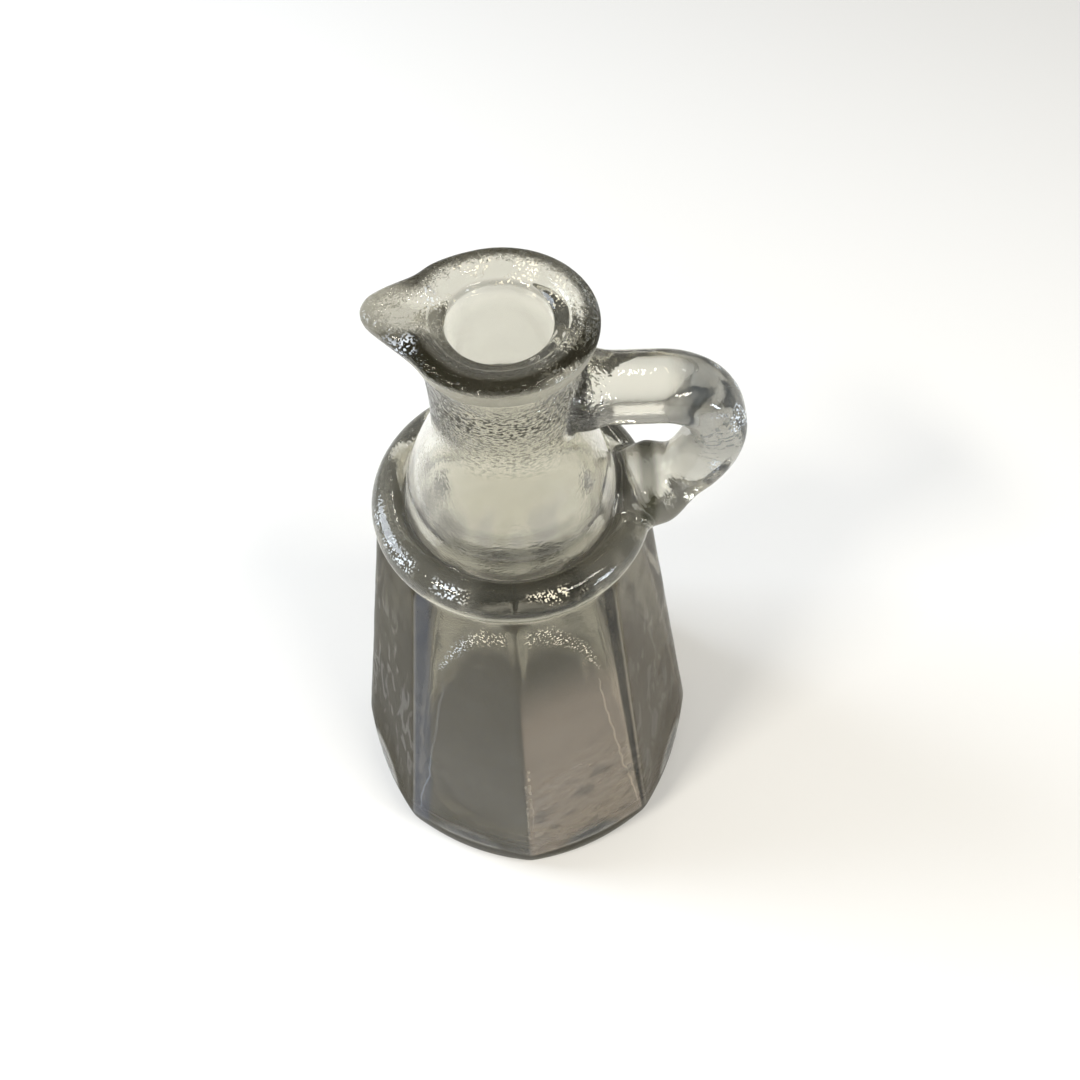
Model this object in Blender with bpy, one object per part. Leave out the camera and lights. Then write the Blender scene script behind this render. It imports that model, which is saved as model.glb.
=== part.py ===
"""Small pressed-glass pitcher in one piece: panelled body, collar, neck, pouring lip and handle.

The glass stands on its flat underside at z = 0, with the axis of the body on the Z axis.
The handle points to +X and the pouring lip to -X; both lie over ridges of the eight panels.
Everything is in metres.
"""

import math
from typing import NamedTuple

import bpy
import bmesh
from mathutils import Vector

# ---- driving sizes -------------------------------------------------------------------------
PANELS = 8
AROUND = 56                      # points round a ring, a whole number for each panel

# body: radii are measured at the ridges between the panels
FOOT_RADIUS = 0.0350             # edge of the flat underside
HEEL_RADIUS = 0.0373
HEEL_HEIGHT = 0.0095
FOOT_FLATNESS = 0.15             # the foot is nearly round, the heel starts the panels
HEEL_FLATNESS = 0.52
PANELS_FLAT = 0.0280             # above this the panels are quite flat
PANEL_TOP = 0.0905
PANEL_TOP_RADIUS = 0.0236

# collar: a rounded bead that overhangs the panels, with a channel inside it
COLLAR_RADIUS = 0.0203           # circle through the middle of the bead
COLLAR_HEIGHT = 0.0949
BEAD_RADIAL = 0.0035
BEAD_AXIAL = 0.0036
CHANNEL_RADIUS = 0.0180
CHANNEL_HEIGHT = 0.0966

BEAD_ARC = (math.radians(-50), math.radians(120))   # from its underside to the channel

# shoulder and neck; a lip share of 0 keeps a ring round, 1 draws it out to the pouring lip
SHOULDER_RADIUS = 0.0174
SHOULDER_HEIGHT = 0.0990
NECK_RADIUS = 0.0112
NECK_FOOT = 0.1200
NECK_LIP = ((0.1265, 0.0), (0.1315, 0.15), (0.1334, 0.30))     # height and lip share

# rim and pouring lip
RIM_RADIUS = 0.0140
STEP_RADIUS = 0.0128             # edge of the step out from the neck to the rim
STEP_HEIGHT = 0.1339
STEP_LIP = 0.45
WALL_RADIUS = 0.0134             # the wall between the step and the rounding of the rim
WALL_HEIGHT = 0.1350
WALL_LIP = 0.72
RIM_MIDDLE = 0.1370
RIM_BELOW = 0.0013               # half height of the rounding below its middle
RIM_ARC = (math.radians(-12), math.radians(90))     # from the wall to the crest
RIM_CREST = 0.1384
CREST_INSET = 0.0026
LIP_REACH = 0.0188               # from the axis to the tip
LIP_TIP_RADIUS = 0.0040
LIP_PINCH = 0.0006               # the sides of the lip are drawn in this much
LIP_GATHER = 0.30                # share by which points crowd towards the tip
LIP_RISE = 0.0022                # the tip stands this much above the rim
LIP_SPREAD = math.radians(75)    # the rise dies out at this angle from the tip

# inside
FUNNEL_SHARES = (0.25, 0.6, 0.9)     # way from the crest of the rim in to the bore
BORE_RADIUS = 0.0074
BORE_TOP = 0.1370
BORE_FOOT = 0.1190
SHOULDER_WALL = 0.0030
CAVITY_SHOULDER = 0.0985
PANEL_WALL = 0.0038              # at the ridges, low down
WALL_GROWTH = 0.095              # the wall thickens by this much for each metre of height
WALL_GROWS_FROM = 0.0420
CAVITY_FLATNESS = 0.60
FLOOR_FLATNESS = 0.25
CAVITY_PANEL_TOP = 0.0850
CAVITY_HEEL = 0.0120
FLOOR_RADIUS = 0.0290
FLOOR_HEIGHT = 0.0055

# handle: centre line in the plane y = 0, as a straight arm, two arcs and a straight foot
UPPER_WIDTH = 0.0114             # across, along Y, at the neck
LOWER_WIDTH = 0.0098             # and at the collar
ARM_THICKNESS = 0.0080
BEND_THICKNESS = 0.0090          # at the outermost place
FOOT_THICKNESS = 0.0076
HANDLE_TOP = 0.1224              # height of the upper arm
HANDLE_REACH = 0.0325            # outermost point of the centre line
BEND_RADIUS = 0.0095
SWEEP_RADIUS = 0.0175
SWEEP_ANGLE = math.radians(60)
HANDLE_ROOT_X = 0.0094           # the upper arm starts inside the wall of the neck
HANDLE_FOOT_X = 0.0184           # the lower arm ends inside the collar
UPPER_FLARE = 0.22               # widening of the section at the neck
LOWER_FLARE = 0.45               # widening of the section at the collar
FLARE_LENGTH = 0.0050
SECTION_POINTS = 16
SQUARENESS = 2.8                 # exponent of the rounded section, 2 would be an ellipse

GLASS_COLOUR = (0.62, 0.61, 0.56, 1.0)
GLASS_ROUGHNESS = 0.05
SHARP_ANGLE = math.radians(28)


class Ring(NamedTuple):
    """One ring of points round the axis.

    radius: distance from the axis at a ridge; height: z.
    flatness: 0 is a circle, 1 has straight sides between the ridges.
    lip: 0 ignores the pouring lip, 1 follows its whole outline.
    """

    radius: float
    height: float
    flatness: float = 0.0
    lip: float = 0.0


def smooth(t):
    """Ease from 0 to 1 with level ends."""
    t = min(max(t, 0.0), 1.0)
    return t * t * (3.0 - 2.0 * t)


def mix(a, b, t):
    """Blend two numbers."""
    return a + (b - a) * t


def steps(count, first=0.0, last=1.0):
    """Evenly spaced values from first to last, both included."""
    return [mix(first, last, i / (count - 1)) for i in range(count)]


# ---- outline of a ring ---------------------------------------------------------------------
def panel_factor(angle, flatness):
    """Radius at an angle as a share of the radius at a ridge."""
    half = math.pi / PANELS
    from_middle = (angle % (2 * half)) - half
    straight = math.cos(half) / math.cos(from_middle)
    return mix(1.0, straight, flatness)


def lip_outline(angle):
    """Plan radius of the rim: a circle drawn out to a small round tip at -X."""
    away = abs(math.remainder(angle - math.pi, 2 * math.pi))
    tip_centre = LIP_REACH - LIP_TIP_RADIUS
    tangent = math.acos((RIM_RADIUS - LIP_TIP_RADIUS) / tip_centre)
    tip_edge = math.atan2(LIP_TIP_RADIUS * math.sin(tangent),
                          tip_centre + LIP_TIP_RADIUS * math.cos(tangent))
    if away > tangent:
        return RIM_RADIUS
    if away > tip_edge:
        pinch = math.sin(math.pi * (away - tip_edge) / (tangent - tip_edge)) ** 2
        return RIM_RADIUS / math.cos(tangent - away) - LIP_PINCH * pinch
    across = tip_centre * math.sin(away)
    return tip_centre * math.cos(away) + math.sqrt(LIP_TIP_RADIUS ** 2 - across ** 2)


def ring_angles(lip):
    """Angles of the points of a ring, which crowd towards the tip where it follows the lip."""
    even = [2 * math.pi * i / AROUND for i in range(AROUND)]
    return [angle + lip * LIP_GATHER * math.sin(angle) for angle in even]


def ring_points(ring):
    """Points of one ring, anticlockwise seen from above."""
    points = []
    for angle in ring_angles(ring.lip):
        radius = ring.radius * panel_factor(angle, ring.flatness)
        radius += ring.lip * (lip_outline(angle) - RIM_RADIUS)
        away = abs(math.remainder(angle - math.pi, 2 * math.pi))
        rise = LIP_RISE * ring.lip * (1.0 - smooth(away / LIP_SPREAD))
        points.append(Vector((radius * math.cos(angle), radius * math.sin(angle),
                              ring.height + rise)))
    return points


# ---- rings of the outer surface, from the underside up -------------------------------------
def heel_rings():
    """Rounded edge from the flat underside to the widest place."""
    rings = []
    for t in steps(5):
        a = t * math.pi / 2
        rings.append(Ring(mix(FOOT_RADIUS, HEEL_RADIUS, math.sin(a)),
                          HEEL_HEIGHT * (1.0 - math.cos(a)),
                          mix(FOOT_FLATNESS, HEEL_FLATNESS, t)))
    return rings


def panel_radius(height):
    """Radius of the panels at a ridge."""
    slope = (HEEL_RADIUS - PANEL_TOP_RADIUS) / (PANEL_TOP - HEEL_HEIGHT)
    return HEEL_RADIUS - slope * (height - HEEL_HEIGHT)


def panel_rings():
    """The eight flat panels, which lean in towards the collar."""
    rings = []
    heights = steps(4, HEEL_HEIGHT, PANELS_FLAT)[1:] + steps(4, PANELS_FLAT, PANEL_TOP)[1:]
    for height in heights:
        rising = (height - HEEL_HEIGHT) / (PANELS_FLAT - HEEL_HEIGHT)
        rings.append(Ring(panel_radius(height), height,
                          mix(HEEL_FLATNESS, 1.0, math.sin(min(rising, 1.0) * math.pi / 2))))
    return rings


def collar_rings():
    """The bead, from its underside over the top into the channel."""
    rings = []
    for a in steps(9, *BEAD_ARC):
        rings.append(Ring(COLLAR_RADIUS + BEAD_RADIAL * math.cos(a),
                          COLLAR_HEIGHT + BEAD_AXIAL * math.sin(a)))
    rings.append(Ring(CHANNEL_RADIUS, CHANNEL_HEIGHT))
    return rings


def shoulder_radius(height):
    """Outer radius of the bell-shaped shoulder."""
    t = (NECK_FOOT - height) / (NECK_FOOT - SHOULDER_HEIGHT)
    return mix(NECK_RADIUS, SHOULDER_RADIUS, smooth(t))


def shoulder_rings():
    """Bell-shaped shoulder from the channel to the neck."""
    return [Ring(shoulder_radius(h), h) for h in steps(8, SHOULDER_HEIGHT, NECK_FOOT)]


def neck_rings():
    """Neck, whose top starts to follow the lip."""
    return [Ring(NECK_RADIUS, height, lip=share) for height, share in NECK_LIP]


def rim_rings():
    """Rounded rim, from the step over the neck up its wall and over the crest."""
    crest = RIM_RADIUS - CREST_INSET
    rings = [Ring(STEP_RADIUS, STEP_HEIGHT, lip=STEP_LIP),
             Ring(WALL_RADIUS, WALL_HEIGHT, lip=WALL_LIP)]
    for a in steps(6, *RIM_ARC):
        drop = RIM_BELOW if a < 0 else RIM_CREST - RIM_MIDDLE
        rings.append(Ring(crest + CREST_INSET * math.cos(a),
                          RIM_MIDDLE + drop * math.sin(a), lip=1.0))
    return rings


def funnel_rings():
    """Shallow hollow inside the rim, which runs out along the lip."""
    crest = RIM_RADIUS - CREST_INSET
    rings = []
    for t in FUNNEL_SHARES:
        rings.append(Ring(mix(crest, BORE_RADIUS, t), mix(RIM_CREST, BORE_TOP, smooth(t)),
                          lip=1.0 - t))
    return rings


# ---- rings of the inner surface, from the bore down ----------------------------------------
def bore_rings():
    """Narrow bore of the neck."""
    return [Ring(BORE_RADIUS, h) for h in steps(4, BORE_TOP, BORE_FOOT)]


def cavity_shoulder_rings():
    """Inside of the shoulder."""
    rings = []
    wide = SHOULDER_RADIUS - SHOULDER_WALL
    for t in steps(6)[1:]:
        rings.append(Ring(mix(BORE_RADIUS, wide, smooth(t)),
                          mix(BORE_FOOT, CAVITY_SHOULDER, t)))
    return rings


def cavity_body_rings():
    """Inside of the panels, down to the rounded floor; the wall is thickest at the top."""
    rings = []
    for height in (steps(3, CAVITY_PANEL_TOP, WALL_GROWS_FROM)
                   + steps(3, WALL_GROWS_FROM, CAVITY_HEEL)[1:]):
        wall = PANEL_WALL + WALL_GROWTH * max(height - WALL_GROWS_FROM, 0.0)
        rings.append(Ring(panel_radius(height) - wall, height,
                          mix(FLOOR_FLATNESS, CAVITY_FLATNESS, smooth(height / WALL_GROWS_FROM))))
    wide = rings[-1].radius
    for t in steps(4)[1:]:
        a = t * math.pi / 2
        rings.append(Ring(mix(wide, FLOOR_RADIUS, 1.0 - math.cos(a)),
                          mix(CAVITY_HEEL, FLOOR_HEIGHT, math.sin(a)),
                          mix(FLOOR_FLATNESS, 0.0, t)))
    return rings


# ---- meshes --------------------------------------------------------------------------------
def bridge(bm, lower, upper):
    """Join two rings of vertices with four-sided faces."""
    count = len(lower)
    for i in range(count):
        j = (i + 1) % count
        bm.faces.new((lower[i], lower[j], upper[j], upper[i]))


def cap(bm, ring, centre):
    """Close a ring with a fan round its centre."""
    hub = bm.verts.new(centre)
    for i in range(len(ring)):
        bm.faces.new((ring[i], ring[(i + 1) % len(ring)], hub))


def make_object(name, bm):
    """Turn a bmesh into an object with outward faces."""
    bmesh.ops.recalc_face_normals(bm, faces=bm.faces)
    mesh = bpy.data.meshes.new(name)
    bm.to_mesh(mesh)
    bm.free()
    obj = bpy.data.objects.new(name, mesh)
    bpy.context.scene.collection.objects.link(obj)
    return obj


def make_vessel():
    """The hollow body, from the underside up the outside and down the inside."""
    rings = (heel_rings() + panel_rings() + collar_rings() + shoulder_rings() + neck_rings()
             + rim_rings() + funnel_rings() + bore_rings() + cavity_shoulder_rings()
             + cavity_body_rings())
    bm = bmesh.new()
    loops = [[bm.verts.new(p) for p in ring_points(ring)] for ring in rings]
    for lower, upper in zip(loops, loops[1:]):
        bridge(bm, lower, upper)
    cap(bm, loops[0], (0.0, 0.0, 0.0))
    cap(bm, loops[-1], (0.0, 0.0, FLOOR_HEIGHT))
    return make_object("pitcher", bm)


def handle_path():
    """Points and directions of the handle's centre line, in the plane y = 0."""
    bend_x = HANDLE_REACH - BEND_RADIUS
    middle_z = HANDLE_TOP - BEND_RADIUS
    sweep_x = HANDLE_REACH - SWEEP_RADIUS
    path = [(x, HANDLE_TOP, 0.0) for x in steps(5, HANDLE_ROOT_X, bend_x)[:-1]]
    for a in steps(7, 0.0, math.pi / 2)[:-1]:
        path.append((bend_x + BEND_RADIUS * math.sin(a),
                     middle_z + BEND_RADIUS * math.cos(a), a))
    for a in steps(6, 0.0, SWEEP_ANGLE):
        path.append((sweep_x + SWEEP_RADIUS * math.cos(a),
                     middle_z - SWEEP_RADIUS * math.sin(a), math.pi / 2 + a))
    end_x, end_z, turn = path[-1]
    run = (end_x - HANDLE_FOOT_X) / -math.cos(turn)
    for t in steps(4)[1:]:
        path.append((end_x + t * run * math.cos(turn), end_z - t * run * math.sin(turn), turn))
    return path


def flare(x, turn):
    """Widening of the section near the two roots."""
    if turn < math.pi / 2:
        wall, amount = NECK_RADIUS, UPPER_FLARE
    else:
        wall, amount = COLLAR_RADIUS + BEAD_RADIAL, LOWER_FLARE
    return 1.0 + amount * (1.0 - smooth((x - wall) / FLARE_LENGTH))


def handle_thickness(turn):
    """Thickness of the section in the plane of the handle, thickest at the outermost place."""
    if turn < math.pi / 2:
        return mix(ARM_THICKNESS, BEND_THICKNESS, smooth(turn / (math.pi / 2)))
    return mix(BEND_THICKNESS, FOOT_THICKNESS, smooth((turn - math.pi / 2) / SWEEP_ANGLE))


def handle_section(x, z, turn):
    """Rounded section across the centre line at one point."""
    normal = Vector((math.sin(turn), 0.0, math.cos(turn)))
    along_path = turn / (math.pi / 2 + SWEEP_ANGLE)
    widening = flare(x, turn)
    width = mix(UPPER_WIDTH, LOWER_WIDTH, along_path) * widening
    thickness = handle_thickness(turn) * (widening if turn > math.pi / 2 else 1.0)
    points = []
    for i in range(SECTION_POINTS):
        a = 2 * math.pi * (i + 0.5) / SECTION_POINTS
        across = math.copysign(abs(math.cos(a)) ** (2 / SQUARENESS), math.cos(a))
        along = math.copysign(abs(math.sin(a)) ** (2 / SQUARENESS), math.sin(a))
        points.append(Vector((x, 0.0, z))
                      + Vector((0.0, 1.0, 0.0)) * across * width / 2
                      + normal * along * thickness / 2)
    return points


def make_handle():
    """The ear-shaped handle, which ends inside the walls it joins."""
    bm = bmesh.new()
    path = handle_path()
    loops = [[bm.verts.new(p) for p in handle_section(*place)] for place in path]
    for lower, upper in zip(loops, loops[1:]):
        bridge(bm, lower, upper)
    for loop, (x, z, _turn) in ((loops[0], path[0]), (loops[-1], path[-1])):
        cap(bm, loop, (x, 0.0, z))
    return make_object("handle_tool", bm)


def fuse(target, tool):
    """Join the tool to the target as one solid and remove the tool."""
    union = target.modifiers.new("fuse", 'BOOLEAN')
    union.operation = 'UNION'
    union.solver = 'EXACT'
    union.object = tool
    bpy.context.view_layer.update()
    graph = bpy.context.evaluated_depsgraph_get()
    joined = bpy.data.meshes.new_from_object(target.evaluated_get(graph))
    target.modifiers.clear()
    target.data = joined
    bpy.data.objects.remove(tool, do_unlink=True)


def glass_material():
    """Clear pressed glass with a faint warm grey cast."""
    material = bpy.data.materials.new("pressed_glass")
    material.use_nodes = True
    shader = material.node_tree.nodes["Principled BSDF"]
    shader.inputs["Base Color"].default_value = GLASS_COLOUR
    shader.inputs["Roughness"].default_value = GLASS_ROUGHNESS
    shader.inputs["Metallic"].default_value = 0.0
    shader.inputs["Transmission Weight"].default_value = 1.0
    return material


def main():
    """Build the pitcher."""
    for obj in list(bpy.data.objects):
        bpy.data.objects.remove(obj, do_unlink=True)
    pitcher = make_vessel()
    fuse(pitcher, make_handle())
    pitcher.data.materials.clear()
    pitcher.data.materials.append(glass_material())
    pitcher.data.shade_smooth()
    pitcher.data.set_sharp_from_angle(angle=SHARP_ANGLE)


main()
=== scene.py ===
"""Looks of a small pressed-glass pitcher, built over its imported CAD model.

The pitcher is one piece of clear glass: a panelled body under a rounded collar, a bell-shaped
shoulder, a short neck, a rim drawn out to a pouring lip, and an ear-shaped handle. The vessel and
the handle are each swept by a Geometry Nodes tree from a short list of rings, joined into one
skin, and eased where they meet. Everything is in metres: the pitcher stands on z = 0 with its
axis on Z, the handle points to +X and the lip to -X.
"""

import logging
import math
from dataclasses import dataclass, field
from enum import Enum, auto
from typing import Callable, NamedTuple, Union

import bmesh
import bpy
import numpy as np
from mathutils import Matrix, Vector

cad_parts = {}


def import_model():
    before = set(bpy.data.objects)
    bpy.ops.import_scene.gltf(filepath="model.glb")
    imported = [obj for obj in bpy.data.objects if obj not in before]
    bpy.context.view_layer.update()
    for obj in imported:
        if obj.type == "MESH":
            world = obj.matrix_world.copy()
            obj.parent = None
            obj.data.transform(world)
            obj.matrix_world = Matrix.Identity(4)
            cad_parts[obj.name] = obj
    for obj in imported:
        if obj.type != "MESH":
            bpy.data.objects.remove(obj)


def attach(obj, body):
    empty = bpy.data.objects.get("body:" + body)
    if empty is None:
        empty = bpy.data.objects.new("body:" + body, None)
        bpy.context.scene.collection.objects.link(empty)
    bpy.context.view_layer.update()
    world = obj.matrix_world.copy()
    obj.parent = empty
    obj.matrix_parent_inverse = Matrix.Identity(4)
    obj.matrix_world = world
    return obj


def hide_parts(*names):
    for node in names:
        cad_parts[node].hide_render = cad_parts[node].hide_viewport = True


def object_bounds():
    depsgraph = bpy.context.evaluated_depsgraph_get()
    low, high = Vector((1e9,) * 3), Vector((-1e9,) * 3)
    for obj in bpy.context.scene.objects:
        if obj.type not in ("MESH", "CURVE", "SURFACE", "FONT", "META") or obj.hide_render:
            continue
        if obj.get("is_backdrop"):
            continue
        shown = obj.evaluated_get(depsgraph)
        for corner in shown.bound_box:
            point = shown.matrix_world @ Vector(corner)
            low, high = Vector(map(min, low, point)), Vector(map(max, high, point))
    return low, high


log = logging.getLogger("pitcher")

BODY = "root"
NODE = "pitcher"
SLOT = "pressed_glass"
MERGE_WITHIN = 2e-6                  # points of a seam or a pole closer than this are one
QUARTER = math.pi / 2

Colour = tuple[float, float, float]
Span = tuple[float, float]
Number = Union["Field", float, int]


# ---- sums and blends on plain numbers ------------------------------------------------------
def mix(first: float, last: float, share: float) -> float:
    """Blend two numbers."""
    return first + (last - first) * share


def smooth(share: float) -> float:
    """Ease from 0 to 1 with level ends."""
    share = min(max(share, 0.0), 1.0)
    return share * share * (3.0 - 2.0 * share)


def steps(count: int, first: float = 0.0, last: float = 1.0) -> list[float]:
    """Evenly spaced values from first to last, both included."""
    return [mix(first, last, i / (count - 1)) for i in range(count)]


# ---- nodes as Python expressions -----------------------------------------------------------
def sign(operation: str, reflected: bool = False) -> Callable[["Field", Number], "Field"]:
    """Make one of the signs of arithmetic.

    Args:
        operation: the Math node that the sign adds.
        reflected: whether the other number comes first.

    Returns:
        The method behind the sign.
    """
    def apply(self: "Field", other: Number) -> "Field":
        """Add the node."""
        return self.kit.math(operation, *((other, self) if reflected else (self, other)))

    return apply


class Field:
    """A number that a node gives, with the usual signs of arithmetic."""

    def __init__(self, kit: "NodeKit", socket: bpy.types.NodeSocket) -> None:
        self.kit = kit
        self.socket = socket

    def math(self, operation: str, *others: Number) -> "Field":
        """Apply a Math node.

        Args:
            operation: the node's operation.
            others: what goes into its other sockets.

        Returns:
            The node's value.
        """
        return self.kit.math(operation, self, *others)

    __add__ = __radd__ = sign('ADD')
    __sub__, __rsub__ = sign('SUBTRACT'), sign('SUBTRACT', reflected=True)
    __mul__ = __rmul__ = sign('MULTIPLY')
    __truediv__, __rtruediv__ = sign('DIVIDE'), sign('DIVIDE', reflected=True)
    __pow__ = sign('POWER')
    __mod__ = sign('FLOORED_MODULO')
    __gt__ = sign('GREATER_THAN')

    def __neg__(self) -> "Field":
        """The same number with the other sign."""
        return self * -1.0

    def __abs__(self) -> "Field":
        """Size without sign."""
        return self.math('ABSOLUTE')

    def ramp(self, low: Number, high: Number) -> "Field":
        """Rise smoothly from 0 at low to 1 at high, or fall where low is above high.

        Args:
            low: where the result is 0.
            high: where the result is 1.

        Returns:
            The eased share.
        """
        return self.kit.field("ShaderNodeMapRange", settings={"interpolation_type": 'SMOOTHSTEP'},
                              inputs={0: self, 1: low, 2: high})

    def band(self, low: float, high: float, soft: float) -> "Field":
        """1 between two values and 0 outside them.

        Args:
            low: lower edge of the band.
            high: upper edge of the band.
            soft: how far each edge fades to both sides.

        Returns:
            The mask.
        """
        return self.ramp(low - soft, low + soft) * self.ramp(high + soft, high - soft)


class NodeKit:
    """Adds nodes to one shader or geometry tree."""

    def __init__(self, tree: bpy.types.NodeTree) -> None:
        """Work on a tree."""
        self.tree = tree

    def plug(self, socket: bpy.types.NodeSocket, value: object) -> None:
        """Link a socket, or set its own value.

        Args:
            socket: an input socket.
            value: a Field, an output socket, or a plain value.
        """
        if isinstance(value, Field):
            value = value.socket
        if isinstance(value, bpy.types.NodeSocket):
            self.tree.links.new(value, socket)
        else:
            socket.default_value = value

    def node(self, kind: str, settings: dict[str, object] | None = None,
             inputs: dict[str | int, object] | None = None) -> bpy.types.Node:
        """Add a node.

        Args:
            kind: the node's type.
            settings: its own options, set before its sockets.
            inputs: values or links by the name or number of the socket.

        Returns:
            The new node.
        """
        node = self.tree.nodes.new(kind)
        for name, value in (settings or {}).items():
            setattr(node, name, value)
        for name, value in (inputs or {}).items():
            self.plug(node.inputs[name], value)
        return node

    def field(self, kind: str, output: str | int = 0, settings: dict[str, object] | None = None,
              inputs: dict[str | int, object] | None = None) -> Field:
        """Add a node and return one of its outputs.

        Args:
            kind: the node's type.
            output: name or number of the output.
            settings: its own options.
            inputs: values or links by the name or number of the socket.

        Returns:
            The output as a Field.
        """
        return Field(self, self.node(kind, settings, inputs).outputs[output])

    def math(self, operation: str, *values: Number) -> Field:
        """Add a Math node.

        Args:
            operation: the node's operation.
            values: what goes into its sockets in turn.

        Returns:
            The result.
        """
        return self.field("ShaderNodeMath", settings={"operation": operation},
                          inputs=dict(enumerate(values)))

    def choose(self, test: Field, yes: Number, no: Number) -> Field:
        """Take one of two numbers by a test that is 0 or 1.

        Args:
            test: 1 for the first number, 0 for the second.
            yes: the first number.
            no: the second number.

        Returns:
            The number chosen.
        """
        return test * yes + (1.0 - test) * no

    def vector(self, x: Number, y: Number, z: Number) -> Field:
        """Put three numbers together."""
        return self.field("ShaderNodeCombineXYZ", inputs={0: x, 1: y, 2: z})

    def split(self, vector: Field) -> tuple[Field, Field, Field]:
        """Take a vector apart."""
        node = self.node("ShaderNodeSeparateXYZ", inputs={0: vector})
        return tuple(Field(self, socket) for socket in node.outputs)

    def noise(self, place: Field, size: float, detail: float = 2.0, roughness: float = 0.5,
              distortion: float = 0.0, seed: Number = 0.0) -> Field:
        """Add a noise texture.

        Args:
            place: where it is read.
            size: width of its lumps.
            detail: how many finer layers it has.
            roughness: how strong those are.
            distortion: how much the lumps are swirled.
            seed: picks another pattern.

        Returns:
            A number round 0.5.
        """
        return self.field("ShaderNodeTexNoise", "Fac",
                          {"noise_dimensions": '4D', "normalize": True},
                          {"Vector": place, "W": seed, "Scale": 1.0 / size, "Detail": detail,
                           "Roughness": roughness, "Distortion": distortion})

    def blend(self, share: Number, first: Number, second: Number) -> Field:
        """Mix two numbers.

        Args:
            share: 0 for the first, 1 for the second.
            first: a number.
            second: a number.

        Returns:
            The mixed number.
        """
        return self.field("ShaderNodeMix", inputs={0: share, 2: first, 3: second},
                          settings={"data_type": 'FLOAT', "clamp_factor": True})

    def blend_colour(self, share: Number, first: object, second: object) -> Field:
        """Mix two colours.

        Args:
            share: 0 for the first, 1 for the second.
            first: a colour or a link.
            second: a colour or a link.

        Returns:
            The mixed colour.
        """
        node = self.node("ShaderNodeMix", {"data_type": 'RGBA', "blend_type": 'MIX'})
        for socket, value in ((node.inputs[0], share), (node.inputs[6], first),
                              (node.inputs[7], second)):
            if isinstance(value, tuple) and len(value) == 3:
                value = (*value, 1.0)
            self.plug(socket, value)
        return Field(self, node.outputs[2])


def new_material(name: str) -> tuple[bpy.types.Material, NodeKit]:
    """Start an empty material.

    Args:
        name: its name.
    """
    material = bpy.data.materials.new(name)
    material.use_nodes = True
    material.node_tree.nodes.clear()
    return material, NodeKit(material.node_tree)


def new_object(name: str, data: bpy.types.ID) -> bpy.types.Object:
    """Put new data in the scene as an object.

    Args:
        name: the object's name.
        data: its mesh, light or camera.

    Returns:
        The object.
    """
    thing = bpy.data.objects.new(name, data)
    bpy.context.scene.collection.objects.link(thing)
    return thing


# ---- sweeps: rings of points in a Geometry Nodes tree --------------------------------------
class Ring(NamedTuple):
    """One ring of the vessel.

    radius: distance from the axis at a ridge; height: z.
    flatness: 0 is a circle, 1 has straight sides between the ridges.
    lip: 0 ignores the pouring lip, 1 follows its whole outline.
    wave: how far the glass swims in and out, in metres.
    """

    radius: float
    height: float
    flatness: float = 0.0
    lip: float = 0.0
    wave: float = 0.0


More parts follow.
